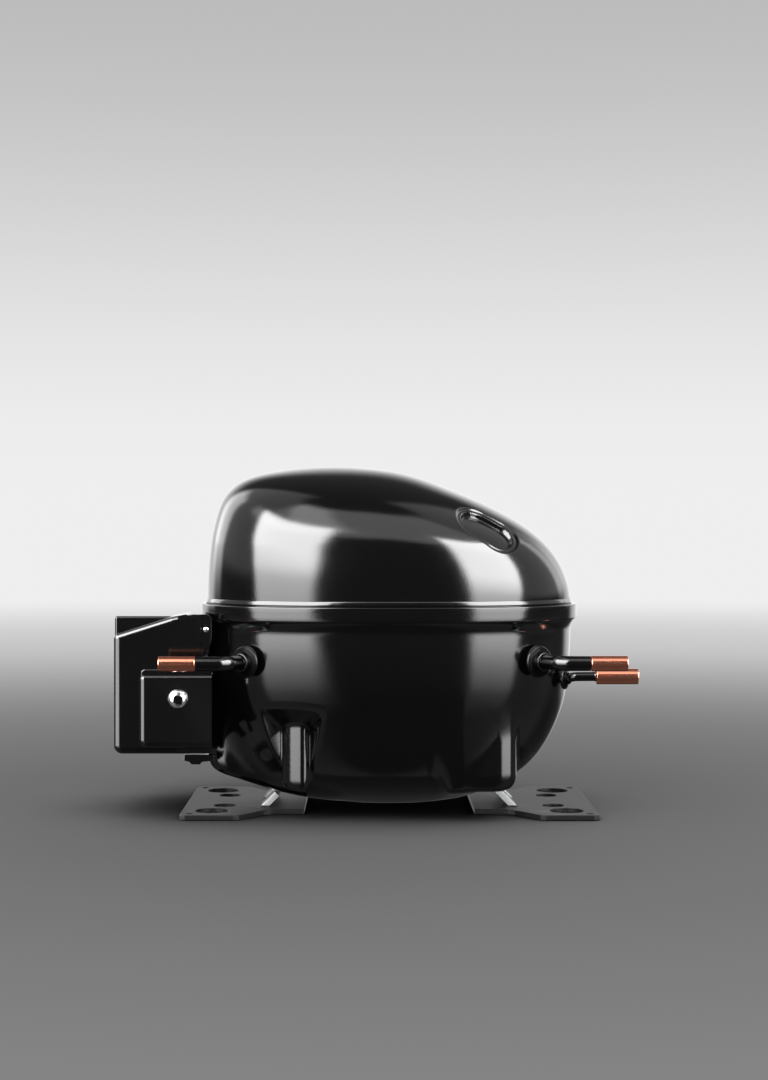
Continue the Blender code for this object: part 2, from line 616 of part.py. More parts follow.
# ---------------------------------------------------------------- sealed terminal
make("terminal_body", *turned([(TERMINAL_R, -85.4), (TERMINAL_R, -90.6), (TERMINAL_R + 1.6, -90.8), (TERMINAL_R + 1.6, -91.8), (TERMINAL_R - 1.0, -92.6),
                              (TERMINAL_R - 2.6, -87.4)], 20, "X", (0, TERMINAL_Y, TERMINAL_Z)), "steel_plain")
PIN_POS = [(TERMINAL_Y + 5.4 * math.cos(a), TERMINAL_Z + 5.4 * math.sin(a)) for a in (math.radians(90), math.radians(210), math.radians(330))]
term = bpy.data.objects["terminal_body"]
boolean(term, [tool(turned([(1.5 + GAP, -95), (1.5 + GAP, -80)], 10, "X", (0, y, z))) for y, z in PIN_POS], "DIFFERENCE")
for i, (y, z) in enumerate(PIN_POS, 1):
    make("terminal_pin_%d" % i, *turned([(0.9, -94.4), (1.5, -93.6), (1.5, -77.8), (0.9, -77.0)], 10, "X", (0, y, z)), "steel_plain")
conn = plate(round_rect(-12, TERMINAL_Z - 11, 12, TERMINAL_Z + 12, 3), [circle(y, z, 1.9, 10) for y, z in PIN_POS], "X", -84.0, -76.4)
make("internal_connector", *conn, "muffler_plastic")
make("terminal_bracket", *plate(round_rect(-26, 38, 26, 84, 4), [round_rect(-23.5, 40.5, 23.5, 81.5, 2.5)], "X", -94.9, -90.4), "foot_paint")

# ---------------------------------------------------------------- electrical box
BOX_X0, BOX_X1 = -131.0, -95.4
BOX_FRONT, BOX_SPLIT, BOX_BACK = -45.0, -19.0, 42.0
front_ring = [(BOX_X0 + 2, 30.8), (BOX_X1, 30.8), (BOX_X1, 97.2), (-101.0, 96.4), (-104.0, 95.6), (BOX_X0 + 1.4, 87.4), (BOX_X0, 85.9), (BOX_X0, 32.8)]
inside_ring = [(BOX_X0 + 2.4, 33.2), (BOX_X1 - 2.4, 33.2), (BOX_X1 - 2.4, 94.4), (-104.0, 92.9), (BOX_X0 + 2.4, 83.2)]
cover = make("electrical_cover", *plate(front_ring, [], "Y", BOX_FRONT, BOX_SPLIT), "cover_plastic")
boolean(cover, [tool(plate([(-97.0, 30.8), (-84.2, 30.8), (-84.2, 94.5), (-86.5, 97.3), (-97.0, 97.1)], [], "Y", BOX_FRONT, BOX_FRONT + 2.6))], "UNION")
boolean(cover, [tool(plate(inside_ring, [], "Y", BOX_FRONT + 2.4, BOX_SPLIT + 5)),
                tool(turned([(2.4, -60), (2.4, -30)], 12, "Y", (-99.3, 0, 57.9)))], "DIFFERENCE")
rear_ring = [(-134.0, 30.0), (BOX_X1, 30.0), (BOX_X1, 95.0), (-132.5, 95.0), (-134.0, 93.5)]
rear = make("inverter_housing", *plate(rear_ring, [], "Y", BOX_SPLIT + 0.35, BOX_BACK), "cover_plastic")
slope_cut = plate([(BOX_SPLIT - 2, 95.6), (BOX_BACK + 5, 78.0), (BOX_BACK + 5, 120.0), (BOX_SPLIT - 2, 120.0)], [], "X", -140, -90)
hollow = plate([(-131.6, 32.4), (BOX_X1 - 2.4, 32.4), (BOX_X1 - 2.4, 75.0), (-131.6, 75.0)], [], "Y", BOX_SPLIT - 4, BOX_BACK - 2.4)
boolean(rear, [tool(slope_cut), tool(hollow)], "DIFFERENCE")
ring = round_rect(-117.8, 34.0, -84.0, 71.2, 2.0, 2)
start_cover = make("start_device_cover", *plate(ring, [], "Y", BOX_FRONT - 2.2, BOX_FRONT - 0.35), "cover_plastic")
boolean(start_cover, [tool(plate(round_rect(-117.4, 34.9, -84.4, 68.9, 2.5, 3), [], "Y", -55.0, BOX_FRONT - 1.2))], "UNION")
boolean(start_cover, [tool(plate(round_rect(-115.4, 36.9, -86.4, 66.9, 1.5, 2), [], "Y", -52.8, -40.0)),
                      tool(turned([(2.4, -60), (2.4, -30)], 12, "Y", (-99.3, 0, 57.9)))], "DIFFERENCE")
make("cover_screw", *turned([(2.0, -40.0), (2.0, -55.35), (4.4, -55.35), (4.6, -56.6), (3.9, -58.2), (2.6, -58.8), (1.7, -58.8), (1.5, -57.0)], 16, "Y", (-99.3, 0, 57.9)), "bright_screw")
clip = [(-97.5, 30.4), (-97.5, 27.6), (-95.0, 27.0), (-92.0, 25.8), (-89.0, 27.0), (-83.5, 27.4), (-83.5, 30.4)]
make("cover_clip", *plate(clip, [], "Y", -44.6, -40.0), "steel_plain")
make("ground_screw", *turned([(1.6, -45.35), (1.6, -46.4), (1.1, -46.9)], 12, "Y", (-87.0, 0, 89.8)), "bright_screw")

# ---------------------------------------------------------------- cylinder block
SX = SHAFT_X
block = make("cylinder_block", *plate(round_rect(-44, -41, 46, 41, 8, 2), [], "Z", 104.0, DECK_Z), "cast_grey")
parts = [tool(turned([(13.0, 84.5), (13.0, 106.0)], 24, "Z", (SX, 0, 0))),
         tool(plate(round_rect(-50.0, -19.0, -21.0, 19.0, 3, 2), [], "Z", 105.0, 149.0))]
for sx in (-1, 1):
    for sy in (-1, 1):
        cx, cy = SX + sx * 33.0, sy * 33.0
        parts.append(tool(plate(round_rect(cx - 6.5, cy - 6.5, cx + 6.5, cy + 6.5, 2, 1), [], "Z", STATOR_HI + 0.35, 106.0)))
boolean(block, parts, "UNION")
HEAD_BOLTS = [(sy * 14.6, BORE_Z + sz * 14.0) for sy in (-1, 1) for sz in (-1, 1)]
cuts = [tool(turned([(SHAFT_R + GAP, 80), (SHAFT_R + GAP, 115)], 32, "Z", (SX, 0, 0))),
        tool(turned([(BORE_R, -60), (BORE_R, -10)], 32, "X", (0, 0, BORE_Z)))]
cuts += [tool(turned([(2.3, -60), (2.3, -37.5)], 8, "X", (0, y, z))) for y, z in HEAD_BOLTS]
boolean(block, cuts, "DIFFERENCE")

bolt_holes = [circle(y, z, 2.3, 8) for y, z in HEAD_BOLTS]
face = round_rect(-19, 113.0, 19, 149.0, 4, 3)
make("head_gasket", *plate(face, bolt_holes + [circle(0, BORE_Z, 12.6, 24)], "X", -50.9, -50.3), "gasket_fibre")
make("suction_reed", *plate(face, bolt_holes + [[(-9.5, 124), (-3.2, 124), (-3.2, 139), (3.2, 139), (3.2, 124), (9.5, 124), (9.5, 141.5), (-9.5, 141.5)]], "X", -51.6, -51.2), "bright_screw")
make("valve_plate", *plate(face, bolt_holes + [circle(0, BORE_Z - 5.0, 2.6, 12), circle(0, BORE_Z + 6.0, 2.2, 12)], "X", -55.0, -51.9), "steel_plain")
make("discharge_reed", *plate([(-2.6, 118.5), (2.6, 118.5), (3.4, 137), (2.0, 140.5), (-2.0, 140.5), (-3.4, 137)], [], "X", -55.8, -55.3), "bright_screw")
head = make("cylinder_head", *plate(face, bolt_holes, "X", -72.0, -56.1), "alloy_cast")
boolean(head, [tool(turned([(3.2, 105.0), (3.2, 121.7)], 12, "Z", (-61.3, 0.4, 0), phase=0.13))], "DIFFERENCE")
boolean(head, [tool(plate(round_rect(-10.5, 119.5, 10.5, 129.5, 3, 2), [], "X", -67.0, -50.0)), tool(plate(round_rect(-9.5, 132.5, 9.5, 144.5, 3, 2), [], "X", -67.0, -50.0))], "DIFFERENCE")
for i, (y, z) in enumerate(HEAD_BOLTS, 1):
    make("head_screw_%d" % i, *turned([(2.0, -38.5), (2.0, -72.3), (3.8, -72.3), (3.8, -75.2), (3.3, -75.8)], 8, "X", (0, y, z)), "steel_plain")

# mufflers and the internal discharge line
muff = make("suction_muffler", *plate(round_rect(-73.0, -25.0, -47.5, 25.0, 7, 3), [], "Z", 56.0, 100.0), "muffler_plastic")
boolean(muff, [tool(turned([(5.5, 98.0), (4.6, 112.7)], 12, "Z", (-62.0, 0, 0))), tool(plate(round_rect(-71.0, -31.0, -60.0, -20.0, 3, 2), [], "Z", 78.0, 92.0))], "UNION")
boolean(muff, [tool(turned([(2.9, 70.0), (2.9, 115.0)], 12, "Z", (-62.0, 0, 0)))], "DIFFERENCE")
make("discharge_muffler", *turned([(10.0, DECK_Z + GAP), (10.0, 124.0), (9.2, 127.5), (6.5, 130.0), (2.5, 131.0)], 20, "Z", (-34.0, 30.5, 0)), "steel_plain")
LOOP = [(-23.4, 33.0, 120.0), (-14.0, 38.0, 120.0), (10.0, 47.0, 117.0), (40.0, 46.0, 114.0), (60.0, 34.0, 108.0), (68.0, 10.0, 96.0),
        (70.0, -12.0, 80.0), (71.5, -24.5, 68.0), (73.2, -31.0, 66.0)]
make("discharge_loop_tube", *sweep(LOOP, 1.9, 8), "copper_bare")

# ---------------------------------------------------------------- motor
core = make("stator_core", *plate(round_rect(SX - STATOR_HALF, -STATOR_HALF, SX + STATOR_HALF, STATOR_HALF, 9, 3), [circle(SX, 0, 23.0, 48)], "Z", STATOR_LO, STATOR_HI), "lamination")
for nm, z0, z1 in (("stator_winding_upper", STATOR_HI + GAP, 98.5), ("stator_winding_lower", 22.5, STATOR_LO - GAP)):
    lo, hi = z0, z1
    prof = [(24.0, lo + 2), (26.5, lo), (34.0, lo), (36.5, lo + 3), (36.5, hi - 4), (33.0, hi), (27.0, hi), (24.0, hi - 3)]
    make(nm, *turned(prof, 24, "Z", (SX, 0, 0), True), "winding_copper")
make("rotor", *turned([(SHAFT_R + GAP, 38.5), (20.0, 38.5), (22.0, 40.5), (22.0, 79.0), (20.0, 81.5), (SHAFT_R + GAP, 81.5)], 36, "Z", (SX, 0, 0), True), "lamination")

# ---------------------------------------------------------------- crank train
O = (SX, 0.0, 0.0)
crank = make("crankshaft", *turned([(5.0, 31.0), (SHAFT_R, 32.0), (SHAFT_R, 114.5)], 32, "Z", O), "steel_plain", origin=(SX, 0, 100))
cparts = [make("t1", *turned([(16.0, 113.6), (16.0, 118.2)], 32, "Z", O), "steel_plain"),
          make("t2", *turned([(PIN_RADIUS, 116.0), (PIN_RADIUS, 139.2), (PIN_RADIUS - 0.8, 140.0)], 32, "Z", (SX, THROW, 0)), "steel_plain")]
boolean(crank, cparts, "UNION")
# eccentric oil gallery, open at the web's underside, closed there by its own plug
boolean(crank, [make("t3", *turned([(2.6, 60.0), (2.6, 141.0)], 12, "Z", (SX, THROW / 2, 0)), "steel_plain")], "DIFFERENCE")
make("oil_gallery_plug", *turned([(2.2, 126.0), (2.2, 139.6), (1.8, 140.0)], 12, "Z", (SX, THROW / 2, 0)), "bearing_bronze", origin=(SX, THROW / 2, 133))
weight = []
for k in range(13):
    a = math.radians(195 + 150 * k / 12)
    weight.append((SX + 23.5 * math.cos(a), 23.5 * math.sin(a)))
for k in range(12, -1, -1):
    a = math.radians(195 + 150 * k / 12)
    weight.append((SX + 16.4 * math.cos(a), 16.4 * math.sin(a)))
make("counterweight", *plate(weight, [], "Z", 113.8, 118.2), "cast_grey", origin=(SX, 0, 116))
make("oil_pickup", *turned([(4.4, 30.6), (7.6, 30.6), (7.6, 24.0), (4.6, 12.0), (3.4, 12.0), (5.8, 24.0), (5.8, 29.0), (4.4, 29.4)], 20, "Z", O, True), "steel_plain", origin=(SX, 0, 20))
make("thrust_washer", *turned([(SHAFT_R + GAP + 0.1, DECK_Z + GAP), (13.0, DECK_Z + GAP), (13.0, 113.3), (SHAFT_R + GAP + 0.1, 113.3)], 32, "Z", O, True), "bearing_bronze")
make("slide_block", *plate(round_rect(SX - 10.5, THROW - 10.5, SX + 10.5, THROW + 10.5, 1.2, 1), [circle(SX, THROW, PIN_RADIUS + GAP, 32)], "Z", BORE_Z - 6.2, BORE_Z + 6.2),
     "bearing_bronze", origin=(SX, THROW, BORE_Z))
yoke = make("slide_yoke", *plate(round_rect(SX - 15.6, -23.6, SX + 15.6, 23.6, 4, 2), [round_rect(SX - 10.8, -19.4, SX + 10.8, 19.4, 1.0, 1)], "Z", BORE_Z - 6.6, BORE_Z + 6.6),
            "steel_plain", origin=(SX, 0, BORE_Z))
boolean(yoke, [make("t4", *turned([(5.2, SX - 30.5), (5.2, SX - 14.5)], 20, "X", (0, 0, BORE_Z)), "steel_plain")], "UNION")
pist = make("piston", *turned([(PISTON_R, SX - 45.8), (PISTON_R, SX - 26.0)], 32, "X", (0, 0, BORE_Z)), "alloy_cast", origin=(SX, 0, BORE_Z))
boolean(pist, [make("t5", *turned([(9.0, SX - 42.0), (9.0, SX - 20.0)], 20, "X", (0, 0, BORE_Z)), "steel_plain")], "DIFFERENCE")
boolean(pist, [make("t6", *turned([(7.6, SX - 43.0), (7.6, SX - 27.5)], 20, "X", (0, 0, BORE_Z)), "steel_plain")], "UNION")
boolean(pist, [make("t7", *turned([(5.5, SX - 31.5), (5.5, SX - 20.0)], 20, "X", (0, 0, BORE_Z)), "steel_plain")], "DIFFERENCE")

# ---------------------------------------------------------------- suspension
SPRING_LO, SPRING_HI = 23.4, 39.6
k = 0
for sx in (-1, 1):
    for sy in (-1, 1):
        k += 1
        cx, cy = SX + sx * SPRING_DX, sy * SPRING_DY
        make("spring_seat_%d" % k, *turned([(3.0, 16.8), (6.0, 20.6), (8.2, 21.2), (8.2, 22.0), (4.3, 22.2), (4.3, 26.6), (3.4, 27.6)], 10, "Z", (cx, cy, 0)), "muffler_plastic")
        turns, wire, mean = 4.0, 1.0, 6.1
        pts = []
        steps = int(turns * 8)
        for i in range(steps + 1):
            a = 2 * math.pi * turns * i / steps
            t = i / steps
            pts.append((cx + mean * math.cos(a), cy + mean * math.sin(a), SPRING_LO + wire + (SPRING_HI - SPRING_LO - 2 * wire) * t))
        make("suspension_spring_%d" % k, *sweep(pts, wire, 5), "steel_plain")
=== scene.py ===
"""Looks of a hermetic reciprocating compressor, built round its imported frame.

Shapes are worked out in millimetres from the middle of the shell, with the soles of the
feet at Z = 0, and are moved by SHIFT and scaled to metres as each mesh is made.
"""

import math

import bmesh
import bpy
import numpy as np
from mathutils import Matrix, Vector
from mathutils.geometry import tessellate_polygon


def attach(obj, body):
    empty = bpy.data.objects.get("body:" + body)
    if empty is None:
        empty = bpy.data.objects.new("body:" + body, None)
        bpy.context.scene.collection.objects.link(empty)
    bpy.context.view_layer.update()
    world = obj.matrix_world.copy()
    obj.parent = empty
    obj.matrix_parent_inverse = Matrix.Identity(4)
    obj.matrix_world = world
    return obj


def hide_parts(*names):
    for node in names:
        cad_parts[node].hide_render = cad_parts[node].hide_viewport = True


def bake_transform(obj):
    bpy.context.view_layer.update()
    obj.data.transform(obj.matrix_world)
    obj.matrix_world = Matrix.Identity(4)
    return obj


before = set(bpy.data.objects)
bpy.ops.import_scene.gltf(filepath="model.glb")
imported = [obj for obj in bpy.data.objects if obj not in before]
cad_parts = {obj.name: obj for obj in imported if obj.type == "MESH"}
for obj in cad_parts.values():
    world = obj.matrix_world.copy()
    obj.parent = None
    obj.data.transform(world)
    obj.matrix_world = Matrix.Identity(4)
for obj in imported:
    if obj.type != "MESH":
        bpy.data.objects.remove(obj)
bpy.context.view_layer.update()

MM = 0.001
SHIFT = 7.7
DEG = math.pi / 180
GAP = 0.3


# =================================================================== node helpers
class Net:
    """A small helper for building node trees."""

    def __init__(self, tree):
        self.t = tree
        tree.nodes.clear()

    def node(self, kind, **settings):
        n = self.t.nodes.new(kind)
        for k, v in settings.items():
            setattr(n, k, v)
        return n

    def put(self, value, socket):
        if isinstance(value, bpy.types.NodeSocket):
            self.t.links.new(value, socket)
        else:
            socket.default_value = value

    def math(self, op, *args, clamp=False):
        m = self.node("ShaderNodeMath", operation=op, use_clamp=clamp)
        for i, v in enumerate(args):
            self.put(v, m.inputs[i])
        return m.outputs[0]

    def ramp(self, value, lo, hi, a=0.0, b=1.0, kind="SMOOTHSTEP"):
        m = self.node("ShaderNodeMapRange", interpolation_type=kind, clamp=True)
        for v, s in zip((value, lo, hi, a, b), m.inputs[:5]):
            self.put(v, s)
        return m.outputs[0]

    def mix(self, factor, a, b):
        m = self.node("ShaderNodeMix", data_type="RGBA")
        self.put(factor, m.inputs[0])
        self.put(a if isinstance(a, bpy.types.NodeSocket) else (*a, 1.0), m.inputs[6])
        self.put(b if isinstance(b, bpy.types.NodeSocket) else (*b, 1.0), m.inputs[7])
        return m.outputs[2]

    def mixf(self, factor, a, b):
        m = self.node("ShaderNodeMix", data_type="FLOAT")
        for v, i in ((factor, 0), (a, 2), (b, 3)):
            self.put(v, m.inputs[i])
        return m.outputs[0]

    def coords(self, scale=(1.0, 1.0, 1.0)):
        tc = self.node("ShaderNodeTexCoord")
        if scale == (1.0, 1.0, 1.0):
            return tc.outputs["Object"]
        mp = self.node("ShaderNodeMapping")
        mp.inputs["Scale"].default_value = scale
        self.t.links.new(tc.outputs["Object"], mp.inputs["Vector"])
        return mp.outputs[0]

    def noise(self, vector, scale, detail=2.0, rough=0.5, distort=0.0):
        n = self.node("ShaderNodeTexNoise")
        self.put(vector, n.inputs["Vector"])
        n.inputs["Scale"].default_value = scale
        n.inputs["Detail"].default_value = detail
        n.inputs["Roughness"].default_value = rough
        n.inputs["Distortion"].default_value = distort
        return n.outputs["Fac"]

    def bump(self, height, strength, distance, normal=None):
        b = self.node("ShaderNodeBump")
        self.put(height, b.inputs["Height"])
        b.inputs["Strength"].default_value = strength
        b.inputs["Distance"].default_value = distance
        if normal is not None:
            self.t.links.new(normal, b.inputs["Normal"])
        return b.outputs[0]


def material(name, build):
    m = bpy.data.materials.new(name)
    m.use_nodes = True
    net = Net(m.node_tree)
    out = net.node("ShaderNodeOutputMaterial")
    p = net.node("ShaderNodeBsdfPrincipled")
    m.node_tree.links.new(p.outputs[0], out.inputs[0])
    build(net, p)
    return m


def edge_mask(net, lo=0.53, hi=0.60):
    g = net.node("ShaderNodeNewGeometry")
    return net.ramp(g.outputs["Pointiness"], lo, hi)


# =================================================================== materials
def enamel(net, p):
    o = net.coords()
    broad = net.noise(o, 16.0, 3.0, 0.55)
    peel = net.noise(o, 1500.0, 2.0, 0.5)
    grit = net.noise(o, 3600.0, 2.0, 0.6)
    smudge = net.noise(o, 55.0, 4.0, 0.65, 0.6)
    base = net.mix(broad, (0.0035, 0.0035, 0.0042), (0.0060, 0.0060, 0.0068))
    dust = net.math("MULTIPLY", net.ramp(grit, 0.62, 0.80), net.ramp(smudge, 0.45, 0.75))
    base = net.mix(net.math("MULTIPLY", dust, 0.22), base, (0.045, 0.044, 0.042))
    base = net.mix(net.math("MULTIPLY", edge_mask(net, 0.56, 0.70), 0.30), base, (0.030, 0.030, 0.033))
    net.put(base, p.inputs["Base Color"])
    r = net.math("ADD", 0.065, net.math("MULTIPLY", smudge, 0.06))
    r = net.math("ADD", r, net.math("MULTIPLY", grit, 0.04))
    net.put(r, p.inputs["Roughness"])
    p.inputs["IOR"].default_value = 1.54
    n = net.bump(peel, 0.22, 0.00009)
    n = net.bump(grit, 0.10, 0.00004, n)
    net.put(n, p.inputs["Normal"])


def foot_enamel(net, p):
    o = net.coords()
    broad = net.noise(o, 30.0, 3.0, 0.6)
    fine = net.noise(o, 1800.0, 3.0, 0.6)
    scuff = net.noise(net.coords((40.0, 260.0, 260.0)), 1.0, 4.0, 0.7, 0.8)
    base = net.mix(broad, (0.009, 0.009, 0.010), (0.015, 0.015, 0.016))
    base = net.mix(net.math("MULTIPLY", net.ramp(scuff, 0.62, 0.75), 0.20), base, (0.040, 0.039, 0.038))
    base = net.mix(net.math("MULTIPLY", edge_mask(net), 0.5), base, (0.09, 0.09, 0.095))
    # the tabs are sheared after painting, so their end faces are bare metal; picked out by facing along Y, they are
    # painted near-white, a painted highlight on top of the bare metal
    g = net.node("ShaderNodeNewGeometry")
    nrm, pos = net.node("ShaderNodeSeparateXYZ"), net.node("ShaderNodeSeparateXYZ")
    net.put(g.outputs["Normal"], nrm.inputs[0])
    net.put(o, pos.inputs[0])
    cut = net.math("MULTIPLY", net.ramp(net.math("ABSOLUTE", nrm.outputs[1]), 0.80, 0.93), net.ramp(pos.outputs[2], 0.0026, 0.0034))
    streak = net.noise(net.coords((300.0, 300.0, 2400.0)), 1.0, 2.0, 0.6)
    # near-white end faces: bare metal plus a painted highlight
    base = net.mix(net.math("MULTIPLY", cut, 0.96), base, net.mix(streak, (0.80, 0.80, 0.81), (0.96, 0.96, 0.97)))
    net.put(base, p.inputs["Base Color"])
    net.put(net.math("MULTIPLY", cut, 0.35), p.inputs["Metallic"])
    net.put(net.math("ADD", 0.40, net.math("MULTIPLY", fine, 0.14)), p.inputs["Roughness"])
    p.inputs["Specular IOR Level"].default_value = 0.16
    net.put(net.bump(fine, 0.20, 0.00006, net.bump(broad, 0.15, 0.0006)), p.inputs["Normal"])


def copper(net, p):
    o = net.coords()
    drawn = net.noise(net.coords((18.0, 1700.0, 1700.0)), 1.0, 3.0, 0.65)
    cloud = net.noise(o, 120.0, 4.0, 0.6, 0.5)
    tarnish = net.ramp(cloud, 0.50, 0.78)
    base = net.mix(drawn, (0.76, 0.270, 0.165), (0.86, 0.340, 0.220))
    base = net.mix(net.math("MULTIPLY", tarnish, 0.35), base, (0.46, 0.150, 0.085))
    net.put(base, p.inputs["Base Color"])
    p.inputs["Metallic"].default_value = 0.82
    r = net.math("ADD", 0.10, net.math("MULTIPLY", drawn, 0.06))
    net.put(net.math("ADD", r, net.math("MULTIPLY", tarnish, 0.08)), p.inputs["Roughness"])
    net.put(net.bump(drawn, 0.10, 0.00002), p.inputs["Normal"])


def moulded_black(net, p):
    o = net.coords()
    broad = net.noise(o, 22.0, 2.0, 0.5)
    tex = net.noise(o, 1500.0, 3.0, 0.55)
    base = net.mix(broad, (0.0045, 0.0045, 0.0052), (0.0075, 0.0075, 0.0082))
    base = net.mix(net.math("MULTIPLY", edge_mask(net), 0.30), base, (0.035, 0.035, 0.038))
    net.put(base, p.inputs["Base Color"])
    net.put(net.math("ADD", 0.075, net.math("MULTIPLY", tex, 0.06)), p.inputs["Roughness"])
    p.inputs["IOR"].default_value = 1.60
    net.put(net.bump(tex, 0.07, 0.00003, net.bump(broad, 0.04, 0.0006)), p.inputs["Normal"])


def plated(net, p):
    o = net.coords()
    fine = net.noise(o, 1400.0, 3.0, 0.6)
    turn = net.noise(net.coords((2600.0, 60.0, 2600.0)), 1.0, 2.0, 0.5)
    # the drive recess of the cover screw is painted near-black and less metallic: painted shade
    at = net.node("ShaderNodeVectorMath", operation="SUBTRACT")
    net.put(o, at.inputs[0])
    at.inputs[1].default_value = (-0.09125, 0.0, 0.0576)
    sep = net.node("ShaderNodeSeparateXYZ")
    net.put(at.outputs[0], sep.inputs[0])
    away = net.math("SQRT", net.math("ADD", net.math("POWER", sep.outputs[0], 2.0), net.math("POWER", sep.outputs[2], 2.0)))
    recess_shade = net.math("MULTIPLY", net.ramp(away, 0.00285, 0.00265), net.ramp(sep.outputs[1], -0.0583, -0.0580))
    base = net.mix(fine, (0.74, 0.74, 0.75), (0.86, 0.86, 0.87))
    # painted shade inside the drive recess
    net.put(net.mix(recess_shade, base, (0.010, 0.010, 0.011)), p.inputs["Base Color"])
    net.put(net.math("SUBTRACT", 1.0, net.math("MULTIPLY", recess_shade, 0.85)), p.inputs["Metallic"])
    net.put(net.math("ADD", 0.15, net.math("MULTIPLY", fine, 0.10)), p.inputs["Roughness"])
    net.put(net.bump(turn, 0.05, 0.00003), p.inputs["Normal"])


def machined(net, p):
    o = net.coords()
    fine = net.noise(o, 900.0, 3.0, 0.6)
    stain = net.noise(o, 60.0, 4.0, 0.6, 0.4)
    lathe = net.noise(net.coords((40.0, 40.0, 2600.0)), 1.0, 2.0, 0.5)
    base = net.mix(fine, (0.40, 0.40, 0.41), (0.54, 0.54, 0.55))
    base = net.mix(net.math("MULTIPLY", net.ramp(stain, 0.5, 0.8), 0.5), base, (0.28, 0.25, 0.22))
    net.put(base, p.inputs["Base Color"])
    p.inputs["Metallic"].default_value = 1.0
    net.put(net.math("ADD", 0.24, net.math("MULTIPLY", fine, 0.22)), p.inputs["Roughness"])
    net.put(net.bump(lathe, 0.12, 0.00005), p.inputs["Normal"])


def sand_cast(net, p):
    o = net.coords()
    grain = net.noise(o, 750.0, 5.0, 0.7)
    broad = net.noise(o, 70.0, 3.0, 0.6)
    base = net.mix(grain, (0.10, 0.10, 0.105), (0.24, 0.24, 0.245))
    base = net.mix(net.math("MULTIPLY", net.ramp(broad, 0.5, 0.8), 0.35), base, (0.20, 0.13, 0.09))
    base = net.mix(net.math("MULTIPLY", edge_mask(net), 0.5), base, (0.45, 0.45, 0.46))
    net.put(base, p.inputs["Base Color"])
    p.inputs["Metallic"].default_value = 0.75
    net.put(net.math("ADD", 0.45, net.math("MULTIPLY", grain, 0.22)), p.inputs["Roughness"])
    net.put(net.bump(grain, 0.45, 0.00035, net.bump(broad, 0.2, 0.0008)), p.inputs["Normal"])


def stacked_sheet(net, p):
    o = net.coords()
    w = net.node("ShaderNodeTexWave", wave_type="BANDS", bands_direction="Z", wave_profile="TRI")
    net.put(o, w.inputs["Vector"])
    w.inputs["Scale"].default_value = 314.0
    w.inputs["Distortion"].default_value = 0.15
    fine = net.noise(o, 500.0, 3.0, 0.6)
    seam = net.ramp(w.outputs["Fac"], 0.0, 0.35)
    base = net.mix(seam, (0.05, 0.05, 0.055), (0.34, 0.34, 0.37))
    base = net.mix(net.math("MULTIPLY", net.ramp(fine, 0.55, 0.8), 0.4), base, (0.20, 0.12, 0.08))
    net.put(base, p.inputs["Base Color"])
    p.inputs["Metallic"].default_value = 0.85
    net.put(net.math("ADD", 0.36, net.math("MULTIPLY", fine, 0.2)), p.inputs["Roughness"])
    net.put(net.bump(seam, 0.4, 0.00012), p.inputs["Normal"])


def magnet_wire(net, p):
    o = net.coords()
    strand = net.noise(net.coords((260.0, 260.0, 1400.0)), 1.0, 3.0, 0.6, 1.2)
    varnish = net.noise(o, 90.0, 3.0, 0.6)
    base = net.mix(strand, (0.20, 0.060, 0.020), (0.66, 0.25, 0.095))
    base = net.mix(net.math("MULTIPLY", net.ramp(varnish, 0.5, 0.8), 0.35), base, (0.42, 0.20, 0.06))
    net.put(base, p.inputs["Base Color"])
    p.inputs["Metallic"].default_value = 0.55
    p.inputs["Coat Weight"].default_value = 0.6
    p.inputs["Coat Roughness"].default_value = 0.22
    net.put(net.math("ADD", 0.32, net.math("MULTIPLY", strand, 0.12)), p.inputs["Roughness"])
    net.put(net.bump(strand, 0.7, 0.0005), p.inputs["Normal"])


def die_cast(net, p):
    o = net.coords()
    grain = net.noise(o, 1300.0, 4.0, 0.6)
    flow = net.noise(o, 45.0, 3.0, 0.6, 0.8)
    base = net.mix(flow, (0.54, 0.54, 0.55), (0.68, 0.68, 0.69))
    base = net.mix(net.math("MULTIPLY", net.ramp(grain, 0.6, 0.8), 0.3), base, (0.34, 0.34, 0.35))
    net.put(base, p.inputs["Base Color"])
    p.inputs["Metallic"].default_value = 1.0
    net.put(net.math("ADD", 0.30, net.math("MULTIPLY", grain, 0.18)), p.inputs["Roughness"])
    net.put(net.bump(grain, 0.25, 0.00012), p.inputs["Normal"])


def pale_polymer(net, p):
    o = net.coords()
    fine = net.noise(o, 1100.0, 3.0, 0.6)
    oil = net.noise(o, 38.0, 4.0, 0.6, 0.8)
    base = net.mix(oil, (0.62, 0.60, 0.53), (0.76, 0.74, 0.66))
    base = net.mix(net.math("MULTIPLY", net.ramp(oil, 0.58, 0.78), 0.4), base, (0.56, 0.46, 0.28))
    net.put(base, p.inputs["Base Color"])
    net.put(net.math("ADD", 0.38, net.math("MULTIPLY", fine, 0.18)), p.inputs["Roughness"])
    p.inputs["Subsurface Weight"].default_value = 0.08
    p.inputs["Subsurface Scale"].default_value = 0.004
    net.put(net.bump(fine, 0.15, 0.0001), p.inputs["Normal"])


def fibre(net, p):
    o = net.coords()
    f = net.noise(net.coords((300.0, 1500.0, 700.0)), 1.0, 4.0, 0.7, 1.0)
    base = net.mix(f, (0.045, 0.095, 0.070), (0.13, 0.21, 0.16))
    net.put(base, p.inputs["Base Color"])
    net.put(net.math("ADD", 0.70, net.math("MULTIPLY", f, 0.2)), p.inputs["Roughness"])
    net.put(net.bump(f, 0.5, 0.0002), p.inputs["Normal"])


